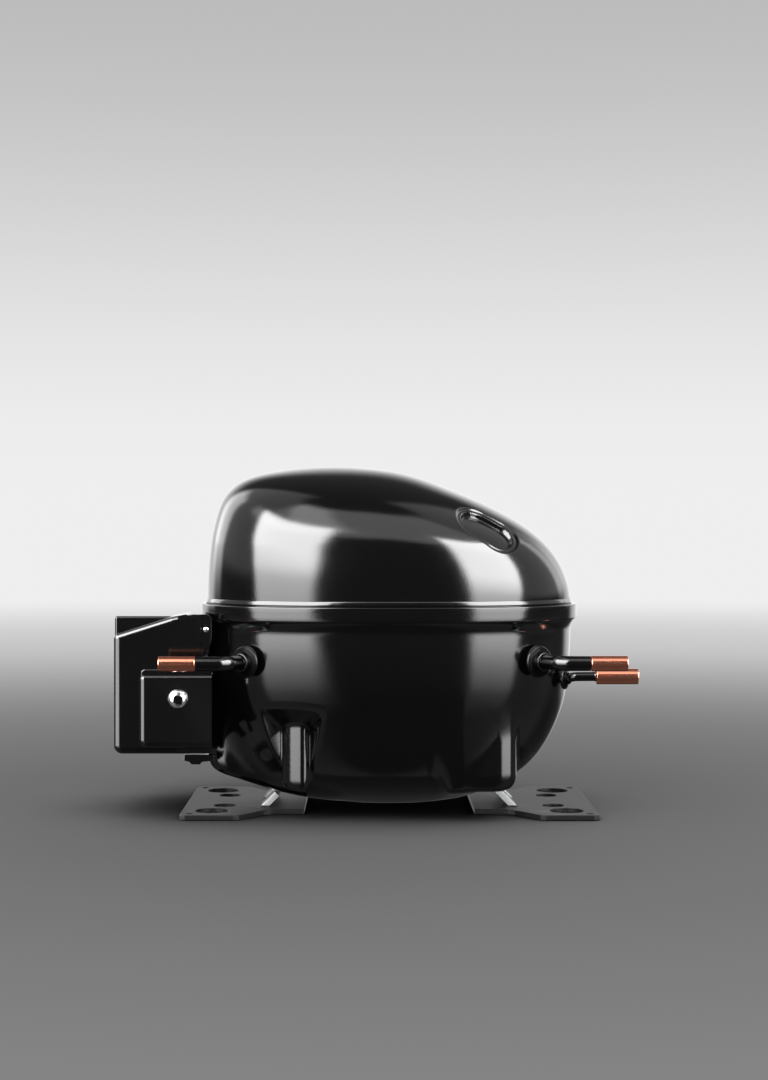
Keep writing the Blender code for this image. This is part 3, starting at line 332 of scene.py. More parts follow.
def bronze(net, p):
    o = net.coords()
    pores = net.noise(o, 1700.0, 3.0, 0.6)
    broad = net.noise(o, 80.0, 3.0, 0.6)
    base = net.mix(broad, (0.50, 0.31, 0.115), (0.66, 0.44, 0.19))
    base = net.mix(net.math("MULTIPLY", net.ramp(pores, 0.60, 0.72), 0.5), base, (0.20, 0.12, 0.05))
    net.put(base, p.inputs["Base Color"])
    p.inputs["Metallic"].default_value = 1.0
    net.put(net.math("ADD", 0.26, net.math("MULTIPLY", pores, 0.22)), p.inputs["Roughness"])
    net.put(net.bump(pores, 0.2, 0.0001), p.inputs["Normal"])


LOOKS = {
    "shell_paint": enamel, "foot_paint": foot_enamel, "copper_bare": copper, "cover_plastic": moulded_black,
    "bright_screw": plated, "steel_plain": machined, "cast_grey": sand_cast, "lamination": stacked_sheet,
    "winding_copper": magnet_wire, "alloy_cast": die_cast, "muffler_plastic": pale_polymer,
    "gasket_fibre": fibre, "bearing_bronze": bronze,
}
MATS = {name: material(name + "_look", build) for name, build in LOOKS.items()}


def brazed_black(net, p):
    o = net.coords()
    lump = net.noise(o, 260.0, 3.0, 0.6)
    fine = net.noise(o, 1900.0, 2.0, 0.5)
    base = net.mix(lump, (0.0028, 0.0028, 0.0032), (0.0060, 0.0060, 0.0065))
    base = net.mix(net.math("MULTIPLY", edge_mask(net, 0.55, 0.66), 0.5), base, (0.045, 0.045, 0.048))
    net.put(base, p.inputs["Base Color"])
    net.put(net.math("ADD", 0.22, net.math("MULTIPLY", lump, 0.16)), p.inputs["Roughness"])
    net.put(net.math("ADD", 0.035, net.math("MULTIPLY", edge_mask(net, 0.52, 0.58), 0.50)), p.inputs["Specular IOR Level"])
    net.put(net.bump(lump, 0.30, 0.00025, net.bump(fine, 0.1, 0.00004)), p.inputs["Normal"])


COLLAR_LOOK = material("brazed_black_look", brazed_black)


# =================================================================== mesh helpers
def raw(name, verts, faces):
    """An object from millimetre points; its normals face outward."""
    me = bpy.data.meshes.new(name)
    v = (np.asarray(verts, float) + np.array([SHIFT, 0.0, 0.0])) * MM
    me.from_pydata(v.tolist(), [], [tuple(f) for f in faces])
    bm = bmesh.new()
    bm.from_mesh(me)
    bmesh.ops.remove_doubles(bm, verts=bm.verts, dist=2e-7)
    bmesh.ops.recalc_face_normals(bm, faces=bm.faces)
    bm.to_mesh(me)
    bm.free()
    ob = bpy.data.objects.new(name, me)
    bpy.context.scene.collection.objects.link(ob)
    return ob


def loft(rows, cyclic=False, low=None, high=None):
    """Quads through rows of equal length; ends are left open, closed with a pole, or joined to each other."""
    v = np.asarray(rows, float)
    r, n = v.shape[0], v.shape[1]
    idx = np.arange(r * n).reshape(r, n)
    a = idx if cyclic else idx[:-1]
    b = np.roll(idx, -1, 0) if cyclic else idx[1:]
    faces = np.stack([a, np.roll(a, -1, 1), np.roll(b, -1, 1), b], -1).reshape(-1, 4).tolist()
    verts = v.reshape(-1, 3).tolist()
    if low is not None:
        verts.append(list(low))
        c = len(verts) - 1
        faces += [(idx[0, (j + 1) % n], idx[0, j], c) for j in range(n)]
    if high is not None:
        verts.append(list(high))
        c = len(verts) - 1
        faces += [(idx[-1, j], idx[-1, (j + 1) % n], c) for j in range(n)]
    if not cyclic and low is None and high is None:
        faces.append(tuple(int(i) for i in idx[0][::-1]))
        faces.append(tuple(int(i) for i in idx[-1]))
    return verts, [tuple(int(i) for i in f) for f in faces]


def axis_map(axis, c, r, t, ang):
    u, v = r * math.cos(ang), r * math.sin(ang)
    if axis == "X":
        return (c[0] + t, c[1] + u, c[2] + v)
    if axis == "Y":
        return (c[0] + u, c[1] + t, c[2] + v)
    return (c[0] + u, c[1] + v, c[2] + t)


def turned(profile, n=48, axis="Z", c=(0, 0, 0), hollow=False, phase=0.0):
    rows = [[axis_map(axis, c, r, t, phase + 2 * math.pi * j / n) for j in range(n)] for r, t in profile]
    return loft(rows, cyclic=hollow)


def rounded_profile(points, radii, steps=5, closed=True):
    """A closed polyline with its corners rounded by the given radii."""
    out = []
    n = len(points)
    for i in range(n):
        b = Vector(points[i])
        a, c = Vector(points[i - 1]), Vector(points[(i + 1) % n])
        r = radii[i] if isinstance(radii, (list, tuple)) else radii
        if r <= 0 or (not closed and i in (0, n - 1)):
            out.append(tuple(b))
            continue
        d1, d2 = (a - b), (c - b)
        l1, l2 = d1.length, d2.length
        d1.normalize(), d2.normalize()
        half = d1.angle(d2) / 2
        if abs(half - math.pi / 2) < 0.01:
            out.append(tuple(b))
            continue
        cut = min(r / math.tan(half), 0.48 * l1, 0.48 * l2)
        rr = cut * math.tan(half)
        centre = b + (d1 + d2).normalized() * (rr / math.sin(half))
        v0, v1 = b + d1 * cut - centre, b + d2 * cut - centre
        turn = math.pi - 2 * half
        m = max(2, int(math.ceil(turn / (math.pi / 2) * steps)))
        for k in range(m + 1):
            t = k / m
            w = (v0 * math.sin((1 - t) * turn) + v1 * math.sin(t * turn)) / math.sin(turn)
            out.append(tuple(centre + w))
    return out


def plate(outer, holes, axis, lo, hi):
    rings = [outer] + list(holes)
    flat = [Vector((u, v, 0)) for ring in rings for (u, v) in ring]
    tris = tessellate_polygon([[Vector((u, v, 0)) for (u, v) in ring] for ring in rings])
    n = len(flat)

    def put(p, t):
        if axis == "X":
            return (t, p[0], p[1])
        if axis == "Y":
            return (p[0], t, p[1])
        return (p[0], p[1], t)
    verts = [put(p, lo) for p in flat] + [put(p, hi) for p in flat]
    faces = [tuple(t) for t in tris] + [tuple(i + n for i in reversed(t)) for t in tris]
    base = 0
    for ring in rings:
        m = len(ring)
        for j in range(m):
            k = (j + 1) % m
            faces.append((base + j, base + k, base + k + n, base + j + n))
        base += m
    return verts, faces


def inset(ring, d):
    """A closed ring moved to its left by d, corners kept sharp."""
    p = np.asarray(ring, float)
    e = np.roll(p, -1, 0) - p
    e /= np.linalg.norm(e, axis=1, keepdims=True)
    n1 = np.stack([-e[:, 1], e[:, 0]], 1)
    n0 = np.roll(n1, 1, 0)
    m = (n0 + n1) / (1 + (n0 * n1).sum(1, keepdims=True))
    return [tuple(q) for q in p + m * d]


def area_of(ring):
    p = np.asarray(ring, float)
    q = np.roll(p, -1, 0)
    return 0.5 * (p[:, 0] * q[:, 1] - q[:, 0] * p[:, 1]).sum()


def slab(outer, holes, axis, lo, hi, r_lo, r_hi, steps=4):
    """A plate whose edges, and its holes' edges, are rounded by r_lo at lo and r_hi at hi."""
    outer = outer if area_of(outer) > 0 else outer[::-1]
    holes = [h if area_of(h) < 0 else h[::-1] for h in holes]
    levels = []
    for r, face, way in ((r_lo, lo, 1), (r_hi, hi, -1)):
        part = []
        for k in range(steps + 1 if r > 0 else 1):
            a = math.pi / 2 * k / steps
            part.append((r * (1 - math.sin(a)), face + way * r * (1 - math.cos(a))))
        levels += part if way > 0 else part[::-1]
    rings = [outer] + holes

    def put(p, t):
        if axis == "X":
            return (t, p[0], p[1])
        if axis == "Y":
            return (p[0], t, p[1])
        return (p[0], p[1], t)
    sizes = [len(r) for r in rings]
    total = sum(sizes)
    verts, faces = [], []
    flats = []
    for d, t in levels:
        moved = [inset(r, d) if d > 1e-9 else r for r in rings]
        flats.append(moved)
        verts += [put(p, t) for r in moved for p in r]
    for i in range(len(levels) - 1):
        base = 0
        for m in sizes:
            a, b = i * total + base, (i + 1) * total + base
            faces += [(a + j, a + (j + 1) % m, b + (j + 1) % m, b + j) for j in range(m)]
            base += m
    for i, flip in ((0, True), (len(levels) - 1, False)):
        tris = tessellate_polygon([[Vector((u, v, 0)) for (u, v) in r] for r in flats[i]])
        faces += [tuple(i * total + k for k in (t[::-1] if flip else t)) for t in tris]
    return verts, faces


def moulded(points, radii, axis, lo, hi, e_lo, e_hi, steps=6, corner=8):
    """A convex plate from a sharp outline. Its edges are quarter ellipses (width, depth) and its corners tighten across them."""
    if area_of(points) < 0:
        points, radii = points[::-1], radii[::-1]
    levels = []
    for (w, t), face, way in ((e_lo, lo, 1), (e_hi, hi, -1)):
        part = [(w * (1 - math.sin(math.pi / 2 * k / steps)), face + way * t * (1 - math.cos(math.pi / 2 * k / steps))) for k in range(steps + 1)]
        levels += part if way > 0 else part[::-1]
    rows = []
    for d, t in levels:
        ring = rounded_profile(inset(points, d), [max(r - d, 0.08) for r in radii], corner)
        rows.append([(t, u, v) if axis == "X" else (u, t, v) if axis == "Y" else (u, v, t) for u, v in ring])
    return loft(rows)


def circle(cx, cy, r, n=48, phase=0.0):
    return [(cx + r * math.cos(phase + 2 * math.pi * j / n), cy + r * math.sin(phase + 2 * math.pi * j / n)) for j in range(n)]


def round_rect(x0, y0, x1, y1, r, n=6):
    pts = []
    for cx, cy, a0 in ((x1 - r, y0 + r, -90), (x1 - r, y1 - r, 0), (x0 + r, y1 - r, 90), (x0 + r, y0 + r, 180)):
        for i in range(n + 1):
            a = math.radians(a0 + 90 * i / n)
            pts.append((cx + r * math.cos(a), cy + r * math.sin(a)))
    return pts


def box_at(x0, y0, z0, x1, y1, z1):
    return plate([(x0, y0), (x1, y0), (x1, y1), (x0, y1)], [], "Z", z0, z1)


def sweep(path, r, n=40, inner=None):
    """A round bar or pipe along points; r and inner may be one number or one per point."""
    p = [Vector(q) for q in path]
    rr = list(r) if isinstance(r, (list, tuple, np.ndarray)) else [r] * len(p)
    ri = None if inner is None else (list(inner) if isinstance(inner, (list, tuple, np.ndarray)) else [inner] * len(p))
    up = Vector((0, 0, 1))
    loops, inner_loops = [], []
    held = None
    for i, q in enumerate(p):
        d = (p[min(i + 1, len(p) - 1)] - p[max(i - 1, 0)]).normalized()
        if held is None:
            a = d.cross(up)
            if a.length < 0.2:
                a = d.cross(Vector((0, 1, 0)))
            a.normalize()
        else:
            a = (held - d * held.dot(d)).normalized()
        held = a
        b = d.cross(a).normalized()

        def ring(rad):
            return [tuple(q + a * (rad * math.cos(2 * math.pi * j / n)) + b * (rad * math.sin(2 * math.pi * j / n))) for j in range(n)]
        loops.append(ring(rr[i]))
        if ri:
            inner_loops.append(ring(ri[i]))
    if ri:
        return loft(loops + inner_loops[::-1], cyclic=True)
    return loft(loops)


def arc_path(points, radius, step=5.0):
    pts = [Vector(p) for p in points]
    out = [tuple(pts[0])]
    for i in range(1, len(pts) - 1):
        a, b, c = pts[i - 1], pts[i], pts[i + 1]
        d1, d2 = (a - b).normalized(), (c - b).normalized()
        half = d1.angle(d2) / 2
        r = min(radius, 0.95 * min((a - b).length, (c - b).length) * math.tan(half))
        cut = r / math.tan(half)
        start, end = b + d1 * cut, b + d2 * cut
        centre = b + (d1 + d2).normalized() * (r / math.sin(half))
        turn = math.pi - 2 * half
        m = max(2, int(math.degrees(turn) / step + 0.999))
        v0, v1 = (start - centre), (end - centre)
        for k in range(m + 1):
            t = k / m
            w = (v0 * math.sin((1 - t) * turn) + v1 * math.sin(t * turn)) / math.sin(turn)
            out.append(tuple(centre + w))
    out.append(tuple(pts[-1]))
    return out


def applied(ob):
    """The object with its modifiers made real."""
    bpy.context.view_layer.update()
    dg = bpy.context.evaluated_depsgraph_get()
    me = bpy.data.meshes.new_from_object(ob.evaluated_get(dg))
    ob.modifiers.clear()
    ob.data = me
    return ob


def boolean(ob, tools, op):
    tools = [raw("tool", *t) if isinstance(t, tuple) else t for t in tools]
    for t in tools:
        m = ob.modifiers.new("b", "BOOLEAN")
        m.operation = op
        m.solver = "EXACT"
        m.object = t
    applied(ob)
    for t in tools:
        bpy.data.objects.remove(t, do_unlink=True)
    return ob


def bevel(ob, width, segments=3, angle=28.0):
    bm = bmesh.new()
    bm.from_mesh(ob.data)
    bmesh.ops.dissolve_limit(bm, angle_limit=0.4 * DEG, verts=bm.verts, edges=bm.edges)
    bm.to_mesh(ob.data)
    bm.free()
    m = ob.modifiers.new("edge", "BEVEL")
    m.width = width * MM
    m.segments = segments
    m.limit_method = "ANGLE"
    m.angle_limit = angle * DEG
    m.use_clamp_overlap = True
    return applied(ob)


def done(ob, look, body, nodes, sharp=32.0, weighted=True):
    """Shade, dress and hang a finished piece."""
    me = ob.data
    me.materials.clear()
    me.materials.append(MATS[look])
    me.polygons.foreach_set("material_index", np.zeros(len(me.polygons), dtype=np.int32))
    me.polygons.foreach_set("use_smooth", np.ones(len(me.polygons), dtype=bool))
    me.set_sharp_from_angle(angle=sharp * DEG)
    if weighted:
        m = ob.modifiers.new("wn", "WEIGHTED_NORMAL")
        m.keep_sharp = True
        m.weight = 80
        applied(ob)
    if body:
        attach(ob, body)
    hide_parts(*nodes)
    return ob


# =================================================================== shell shape
WALL = 3.0
DOME_TOP, SEAM_Z, DOME_APEX_X = 168.5, 101.3, -25.0
PLAN_POWER, HALF_LENGTH, HALF_WIDTH = 2.5, 89.7, 71.7
BOWL_TOP, BOWL_BOTTOM, LIP_OUT = 88.0, 2.6, 3.0
DOME_ELECTRICAL_END = [(-43.1, 167.9), (-55.8, 166.3), (-65.3, 164.4), (-71.7, 162.1), (-76.8, 158.6),
                       (-80.6, 154.8), (-83.5, 149.1), (-85.7, 141.5), (-87.6, 133.2), (-89.2, 117.3), (-89.7, 101.3)]
DOME_TUBE_END = [(-11.3, 167.8), (-1.7, 166.8), (5.8, 165.5), (18.5, 161.7), (31.2, 156.6), (43.9, 151.5),
                 (56.6, 145.1), (66.8, 139.4), (74.4, 133.1), (80.8, 126.1), (84.6, 119.7), (87.2, 113.3), (89.1, 105.7), (89.7, 101.3)]
DOME_SIDE = [(9.5, 167.9), (19.0, 166.3), (27.5, 164.4), (35.0, 162.1), (43.5, 158.6), (50.0, 154.8),
             (57.0, 149.1), (63.0, 141.5), (67.3, 133.2), (70.8, 117.3), (71.7, 101.3)]
BOWL_SECTION = [(18.0, 3.2), (32.0, 5.3), (45.0, 8.9), (55.0, 13.0), (64.6, 18.6), (66.8, 20.5), (73.2, 26.9), (78.2, 34.5),
                (82.0, 42.0), (85.2, 49.8), (87.2, 57.4), (88.4, 67.6), (89.4, 80.0), (89.7, 88.0)]


def section(table, x0, z_top, height):
    """Smooth half-width of a stamping against s = sqrt(depth below the top / height)."""
    s = np.array([0.0] + [math.sqrt(abs(z_top - z) / height) for _, z in table])
    x = np.array([0.0] + [abs(v - x0) for v, _ in table])
    order = np.argsort(s)
    g = np.linspace(-1.0, 2.0, 1501)
    y = np.where(g < 0, -np.interp(-g, s[order], x[order]), np.interp(np.where(g > 1, 2 - g, g), s[order], x[order]))
    k = np.exp(-0.5 * (np.arange(-60, 61) * 0.002 / 0.03) ** 2)
    k /= k.sum()
    for _ in range(2):
        y = np.convolve(np.pad(y, 60, mode="edge"), k, mode="valid")
    keep = (g >= -1e-9) & (g <= 1 + 1e-9)
    gg, yy = g[keep], y[keep]
    yy = yy - yy[0] * (1 - gg)
    return gg, yy * (x[order][-1] / yy[-1])


DOME_H = DOME_TOP - SEAM_Z
DOME_L = section(DOME_ELECTRICAL_END, DOME_APEX_X, DOME_TOP, DOME_H)
DOME_R = section(DOME_TUBE_END, DOME_APEX_X, DOME_TOP, DOME_H)
DOME_D = section(DOME_SIDE, 0.0, DOME_TOP, DOME_H)
BOWL_H = BOWL_TOP - BOWL_BOTTOM
BOWL_S = section([(a, 2 * BOWL_BOTTOM - z) for a, z in BOWL_SECTION], 0.0, BOWL_BOTTOM, BOWL_H)


def dome_extents(s, inset=0.0):
    l, r, d = (np.interp(s, *t) for t in (DOME_L, DOME_R, DOME_D))
    z = DOME_TOP - DOME_H * s ** 2
    x0, x1 = DOME_APEX_X - l, DOME_APEX_X + r
    if inset:
        x0, x1, d = x0 + inset * np.minimum(1, l / 20), x1 - inset * np.minimum(1, r / 20), d - inset * np.minimum(1, d / 20)
        z = z - inset * (1 - s ** 3)
    return (x0 + x1) / 2, (x1 - x0) / 2, d, z


def outline(phi, a, b, power=PLAN_POWER):
    c, s = np.abs(np.cos(phi)), np.abs(np.sin(phi))
    return 1.0 / ((c / a) ** power + (s / b) ** power) ** (1.0 / power)


def angles(n, bumps):
    """n directions round the axis, closer together near each (angle, width, weight)."""
    g = np.linspace(0, 2 * math.pi, 7201)
    w = np.ones_like(g)
    for a, width, weight in bumps:
        d = (g - a + math.pi) % (2 * math.pi) - math.pi
        w += weight * np.exp(-((d / width) ** 4))
    cum = np.concatenate([[0], np.cumsum((w[1:] + w[:-1]) / 2)])
    return np.interp(np.arange(n) / n * cum[-1], cum, g)


POCKET_C = np.array([46.8, -50.6, 138.9])
POCKET_HALF, POCKET_R = 5.0, 12.0


def pocket_frame():
    def level(p):
        s = math.sqrt((DOME_TOP - p[2]) / DOME_H)
        xc, a, b, _ = dome_extents(s)
        return (abs((p[0] - xc) / a) ** PLAN_POWER + abs(p[1] / b) ** PLAN_POWER)
    e = 0.5
    n = np.array([level(POCKET_C + e * v) - level(POCKET_C - e * v) for v in np.eye(3)])
    n /= np.linalg.norm(n)
    u = np.array([0.815, 0.0, -0.578])
    u = u - n * u.dot(n)
    u /= np.linalg.norm(u)
    return n, u, np.cross(n, u)


POCKET_N, POCKET_U, POCKET_V = pocket_frame()


def press_pocket(p, levels=((0.0, 1.6, 1.0), (-3.0, 1.4, 2.2))):
    """Push the wall in inside a rounded slot, in steps of (edge, run, depth)."""
    q = p - POCKET_C
    u, v = q @ POCKET_U, q @ POCKET_V
    d = np.hypot(np.maximum(np.abs(u) - POCKET_HALF, 0), v) - POCKET_R
    near = (np.abs(q @ POCKET_N) < 25)
    h = np.zeros_like(d)
    for edge, run, depth in levels:
        t = np.clip((edge - d) / run, 0, 1)
        h -= depth * t * t * (3 - 2 * t)
    return p + (h * near)[..., None] * POCKET_N


def smin(a, b, k):
    h = np.maximum(k - np.abs(a - b), 0) / k
    return np.minimum(a, b) - h * h * k / 4


def smax(a, b, k):
    return -smin(-a, -b, k)


def rounded_box(x, y, z, lo, hi, r):
    q = [np.abs(c - (l + h) / 2) - ((h - l) / 2 - r) for c, l, h in ((x, lo[0], hi[0]), (y, lo[1], hi[1]), (z, lo[2], hi[2]))]
    m = [np.maximum(c, 0) for c in q]
    return np.sqrt(m[0] ** 2 + m[1] ** 2 + m[2] ** 2) + np.minimum(np.maximum(np.maximum(q[0], q[1]), q[2]), 0) - r


def plan_plane(u, v, p, q, side):
    d = np.array([q[0] - p[0], q[1] - p[1]], float)
    d /= np.linalg.norm(d)
    return side * ((u - p[0]) * d[1] - (v - p[1]) * d[0])


def bowl_field(x, y, z, inset=0.0):
    """Roughly the distance outside the lower stamping's surface, or outside its inner wall."""
    s = np.sqrt(np.clip(z - BOWL_BOTTOM - inset, 1e-4, None) / BOWL_H)
    a = np.maximum(np.interp(s, *BOWL_S) - inset, 0.2)
    slope = (np.interp(s + 0.01, *BOWL_S) - np.interp(s - 0.01, *BOWL_S)) / 0.02 / (2 * s * BOWL_H)
    slope = np.clip(slope, 0, 12)
    b = a * HALF_WIDTH / HALF_LENGTH
    g = ((np.abs(x) / a) ** PLAN_POWER + (np.abs(y) / b) ** PLAN_POWER) ** (1 / PLAN_POWER)
    f = (g - 1) * b / np.sqrt(1 + slope ** 2)
    f = np.where(z < BOWL_BOTTOM + inset, np.maximum(f, BOWL_BOTTOM + inset - z), f)
    v = np.abs(y)
    end = rounded_box(x, v, z, (-87.3 + inset, -60, 10), (-20, 37 - inset, 84 - inset), 10.0 - inset)
    end = smax(end, (17.0 + 0.33 * (-71.5 - x) - z) / 1.053 + inset, 6.0)
    f = smin(f, end, 8.0)
    boss = smax(v - (58.2 - inset), 0.342 * (x - 51.7) + 0.940 * (v - 58.2) + inset, 0.9)
    boss = smax(boss, x - (59.6 - inset), 4.5)
    boss = smax(boss, 13.6 + inset - z, 9.0)
    boss = smax(boss, 27.0 - x, 4.0)
    boss = smax(boss, 5.0 - v, 4.0)
    f = smin(f, boss, 2.5 + 7.5 * np.clip((50.0 - x) / 16.0, 0, 1))
    rec = plan_plane(x, v, (-51.5, 47.0), (-61.8, 57.0), -1)
    rec = smax(rec, plan_plane(x, v, (-39.4, 47.0), (-30.9, 67.0), 1), 2.0)
    rec = smax(rec, 47.0 - v, 0.8)
    rec = smax(rec, (z - 53.2 - 0.83 * (v - 0.375 * (x + 47.0) - 60.6)) / 1.34, 2.0)
    f = smax(f, -(rec - inset), 1.7)
    if not inset:
        ca, cb = 0.92 * (x + 42.2) + 0.39 * (v - 48.7), -0.39 * (x + 42.2) + 0.92 * (v - 48.7)
        left = ca < 0
        power = np.where(left, 2.1, 2.7)
        half = np.where(left, 9.4, 5.0)
        col = ((np.abs(ca) / half) ** power + (np.abs(cb) / 4.6) ** power) ** (1 / power)
        col = (col - 1) * 4.6
        col = smax(col, 13.8 - z, 5.0)
        col = smax(col, z - 60.0, 3.0)
        f = smin(f, col, 1.2)
    return f


def bowl_points(phis, elevations, inset=0.0):
    """Points where rays from the bowl's centre leave the surface; one row per elevation."""
    e = np.asarray(elevations, float)[:, None]
    ph = np.asarray(phis, float)[None, :]
    d = np.stack([np.cos(ph) * np.cos(e), np.sin(ph) * np.cos(e), np.sin(e) * np.ones_like(ph)], -1)
    lo, hi = np.full(d.shape[:2], 30.0), np.full(d.shape[:2], 120.0)
    for _ in range(34):
        mid = (lo + hi) / 2
        p = d * mid[..., None]
        out = bowl_field(p[..., 0], p[..., 1], p[..., 2] + BOWL_TOP, inset) > 0
        hi, lo = np.where(out, mid, hi), np.where(out, lo, mid)
    p = d * ((lo + hi) / 2)[..., None]
    p[..., 2] += BOWL_TOP
    return list(p)


def wall_row(phis, a, b, z):
    r = outline(phis, a, b)
    return np.stack([r * np.cos(phis), r * np.sin(phis), np.full_like(phis, z)], -1)


def skin(outer, inner, outer_pole, inner_pole):
    """A closed stamping: the outer rows end at their pole, the inner rows start at theirs."""
    rows = outer + inner
    n = len(outer[0])
    verts = np.concatenate(rows).tolist() + [list(outer_pole), list(inner_pole)]
    idx = np.arange(len(rows) * n).reshape(len(rows), n)
    faces = []
    for lo, hi in ((0, len(outer)), (len(outer), len(rows))):
        a, b = idx[lo:hi - 1], idx[lo + 1:hi]
        faces += np.stack([a, np.roll(a, -1, 1), np.roll(b, -1, 1), b], -1).reshape(-1, 4).tolist()
    po, pi = len(rows) * n, len(rows) * n + 1
    last, first = idx[len(outer) - 1], idx[len(outer)]
    faces += [(int(last[j]), int(last[(j + 1) % n]), po) for j in range(n)]
    faces += [(pi, int(first[j]), int(first[(j + 1) % n])) for j in range(n)]
    end, begin = idx[-1], idx[0]
    faces += [(int(end[j]), int(end[(j + 1) % n]), int(begin[(j + 1) % n]), int(begin[j])) for j in range(n)]
    return verts, faces


# ------------------------------------------------------------------- top cover
PC = angles(440, [(-40 * DEG, 19 * DEG, 2.4)])


def dome_row(phis, s, inset=0.0):
    xc, a, b, z = dome_extents(s, inset)
    power = 2.0 + (PLAN_POWER - 2.0) * min(1.0, s / 0.75)
    r = outline(phis, a, b, power)
    return np.stack([xc + r * np.cos(phis), r * np.sin(phis), np.full_like(phis, z)], -1)


OUT_S = np.concatenate([np.linspace(1.0, 0.80, 30, endpoint=False), np.linspace(0.80, 0.50, 84, endpoint=False), np.linspace(0.50, 0.02, 56)])
IN_S = np.linspace(0.04, 0.97, 48)
outer = [wall_row(PC, HALF_LENGTH + o, HALF_WIDTH + o, z) for o, z in
         ((-WALL + 0.35, 93.8), (-0.7, 93.8), (-0.32, 93.95), (-0.08, 94.25), (0.0, 94.6), (0.0, 97.5), (0.0, 99.8))]
outer += [press_pocket(dome_row(PC, s)) for s in OUT_S]
inner = [press_pocket(dome_row(PC, s, WALL), ((0.0, 4.5, 3.2),)) for s in IN_S]
inner += [wall_row(PC, HALF_LENGTH - WALL, HALF_WIDTH - WALL, z) for z in (101.3, 97.0, 94.2)]
cover = raw("cover_stamping", *skin(outer, inner, (DOME_APEX_X, 0, DOME_TOP), (DOME_APEX_X, 0, DOME_TOP - WALL)))
done(cover, "shell_paint", "shell", ["top_cover"], sharp=50, weighted=False)

# ------------------------------------------------------------------- closing weld
N_WELD = 384
PW = np.arange(N_WELD) * 2 * math.pi / N_WELD
ripple = 0.03 * np.sin(PW * 96) + 0.02 * np.sin(PW * 61 + 1.3)
prof = [(0.03, 101.62), (0.40, 101.62), (0.50, 101.80), (0.56, 102.05), (0.54, 102.30), (0.42, 102.75), (0.24, 103.3), (0.07, 103.85), (0.03, 103.9)]
loops = []
for i, (o, z) in enumerate(prof):
    w = 0.6 * ripple if 3 <= i <= 5 else 0 * ripple
    r = outline(PW, HALF_LENGTH + o, HALF_WIDTH + o) + 0.5 * w
    loops.append(np.stack([r * np.cos(PW), r * np.sin(PW), z + 0.5 * w], -1))
weld = raw("closing_weld", *loft(loops, cyclic=True))
done(weld, "shell_paint", "shell", ["seam_weld_bead"], sharp=60, weighted=False)

# ------------------------------------------------------------------- lower shell
PH = angles(840, [(230 * DEG, 10 * DEG, 5.0), (130 * DEG, 10 * DEG, 3.0), (315 * DEG, 9 * DEG, 2.0), (45 * DEG, 9 * DEG, 1.5)])
lip = [(0.75, 101.22), (1.0, 101.3), (2.5, 101.3)]
for k in range(1, 6):
    a = math.pi / 2 * (1 - k / 5)
    lip.append((LIP_OUT - 0.42 + 0.42 * math.cos(a), SEAM_Z - 0.42 + 0.42 * math.sin(a)))
lip += [(LIP_OUT, 98.6), (LIP_OUT, 96.6), (LIP_OUT, 94.95), (2.95, 94.62), (2.80, 94.36), (2.55, 94.15), (2.20, 93.85), (1.75, 93.4), (1.30, 92.8),
        (0.90, 92.1), (0.58, 91.4), (0.34, 90.7), (0.16, 90.1), (0.05, 89.4)]
outer = [wall_row(PH, HALF_LENGTH + o, HALF_WIDTH + o, z) for o, z in lip]
els = np.concatenate([np.linspace(0.01, 12, 24, endpoint=False), np.linspace(12, 58, 118, endpoint=False), np.linspace(58, 88.5, 48)])
outer += bowl_points(PH, -els * DEG)
inner = bowl_points(PH, -np.linspace(88, 1.5, 60) * DEG, WALL)
inner += [wall_row(PH, HALF_LENGTH + o, HALF_WIDTH + o, z) for o, z in
          ((-WALL, 90.0), (-WALL, 92.2), (-WALL + 0.2, 92.5), (-0.2, 93.2), (0.45, 93.3), (0.6, 93.5), (0.6, 97.5), (0.6, 100.9))]
bowl = raw("lower_stamping", *skin(outer, inner, (0, 0, BOWL_BOTTOM), (0, 0, BOWL_BOTTOM + WALL)))

PROCESS = ((-66.0, -55.9, 75.3), (-0.591, -0.807), 3.5)
SUCTION = ((68.0, -54.9, 75.5), (0.60, -0.80), 3.5)
DISCHARGE = ((82.6, -35.6, 66.0), (0.898, -0.44), 2.1)
TERM_Y, TERM_Z, TERM_R = 0.0, 61.0, 15.0


def along(station, t, dz=0.0):
    (x, y, z), (nx, ny), _ = station
    return (x + nx * t, y + ny * t, z + dz)


cutters = [sweep([along(s, -14), along(s, 14)], s[2] + GAP, 48) for s in (PROCESS, SUCTION, DISCHARGE)]
cutters.append(turned([(TERM_R + GAP, -20), (TERM_R + GAP, 20)], 64, "X", (-85, TERM_Y, TERM_Z)))
boolean(bowl, cutters, "DIFFERENCE")
done(bowl, "shell_paint", "shell", ["lower_shell"], sharp=50, weighted=False)


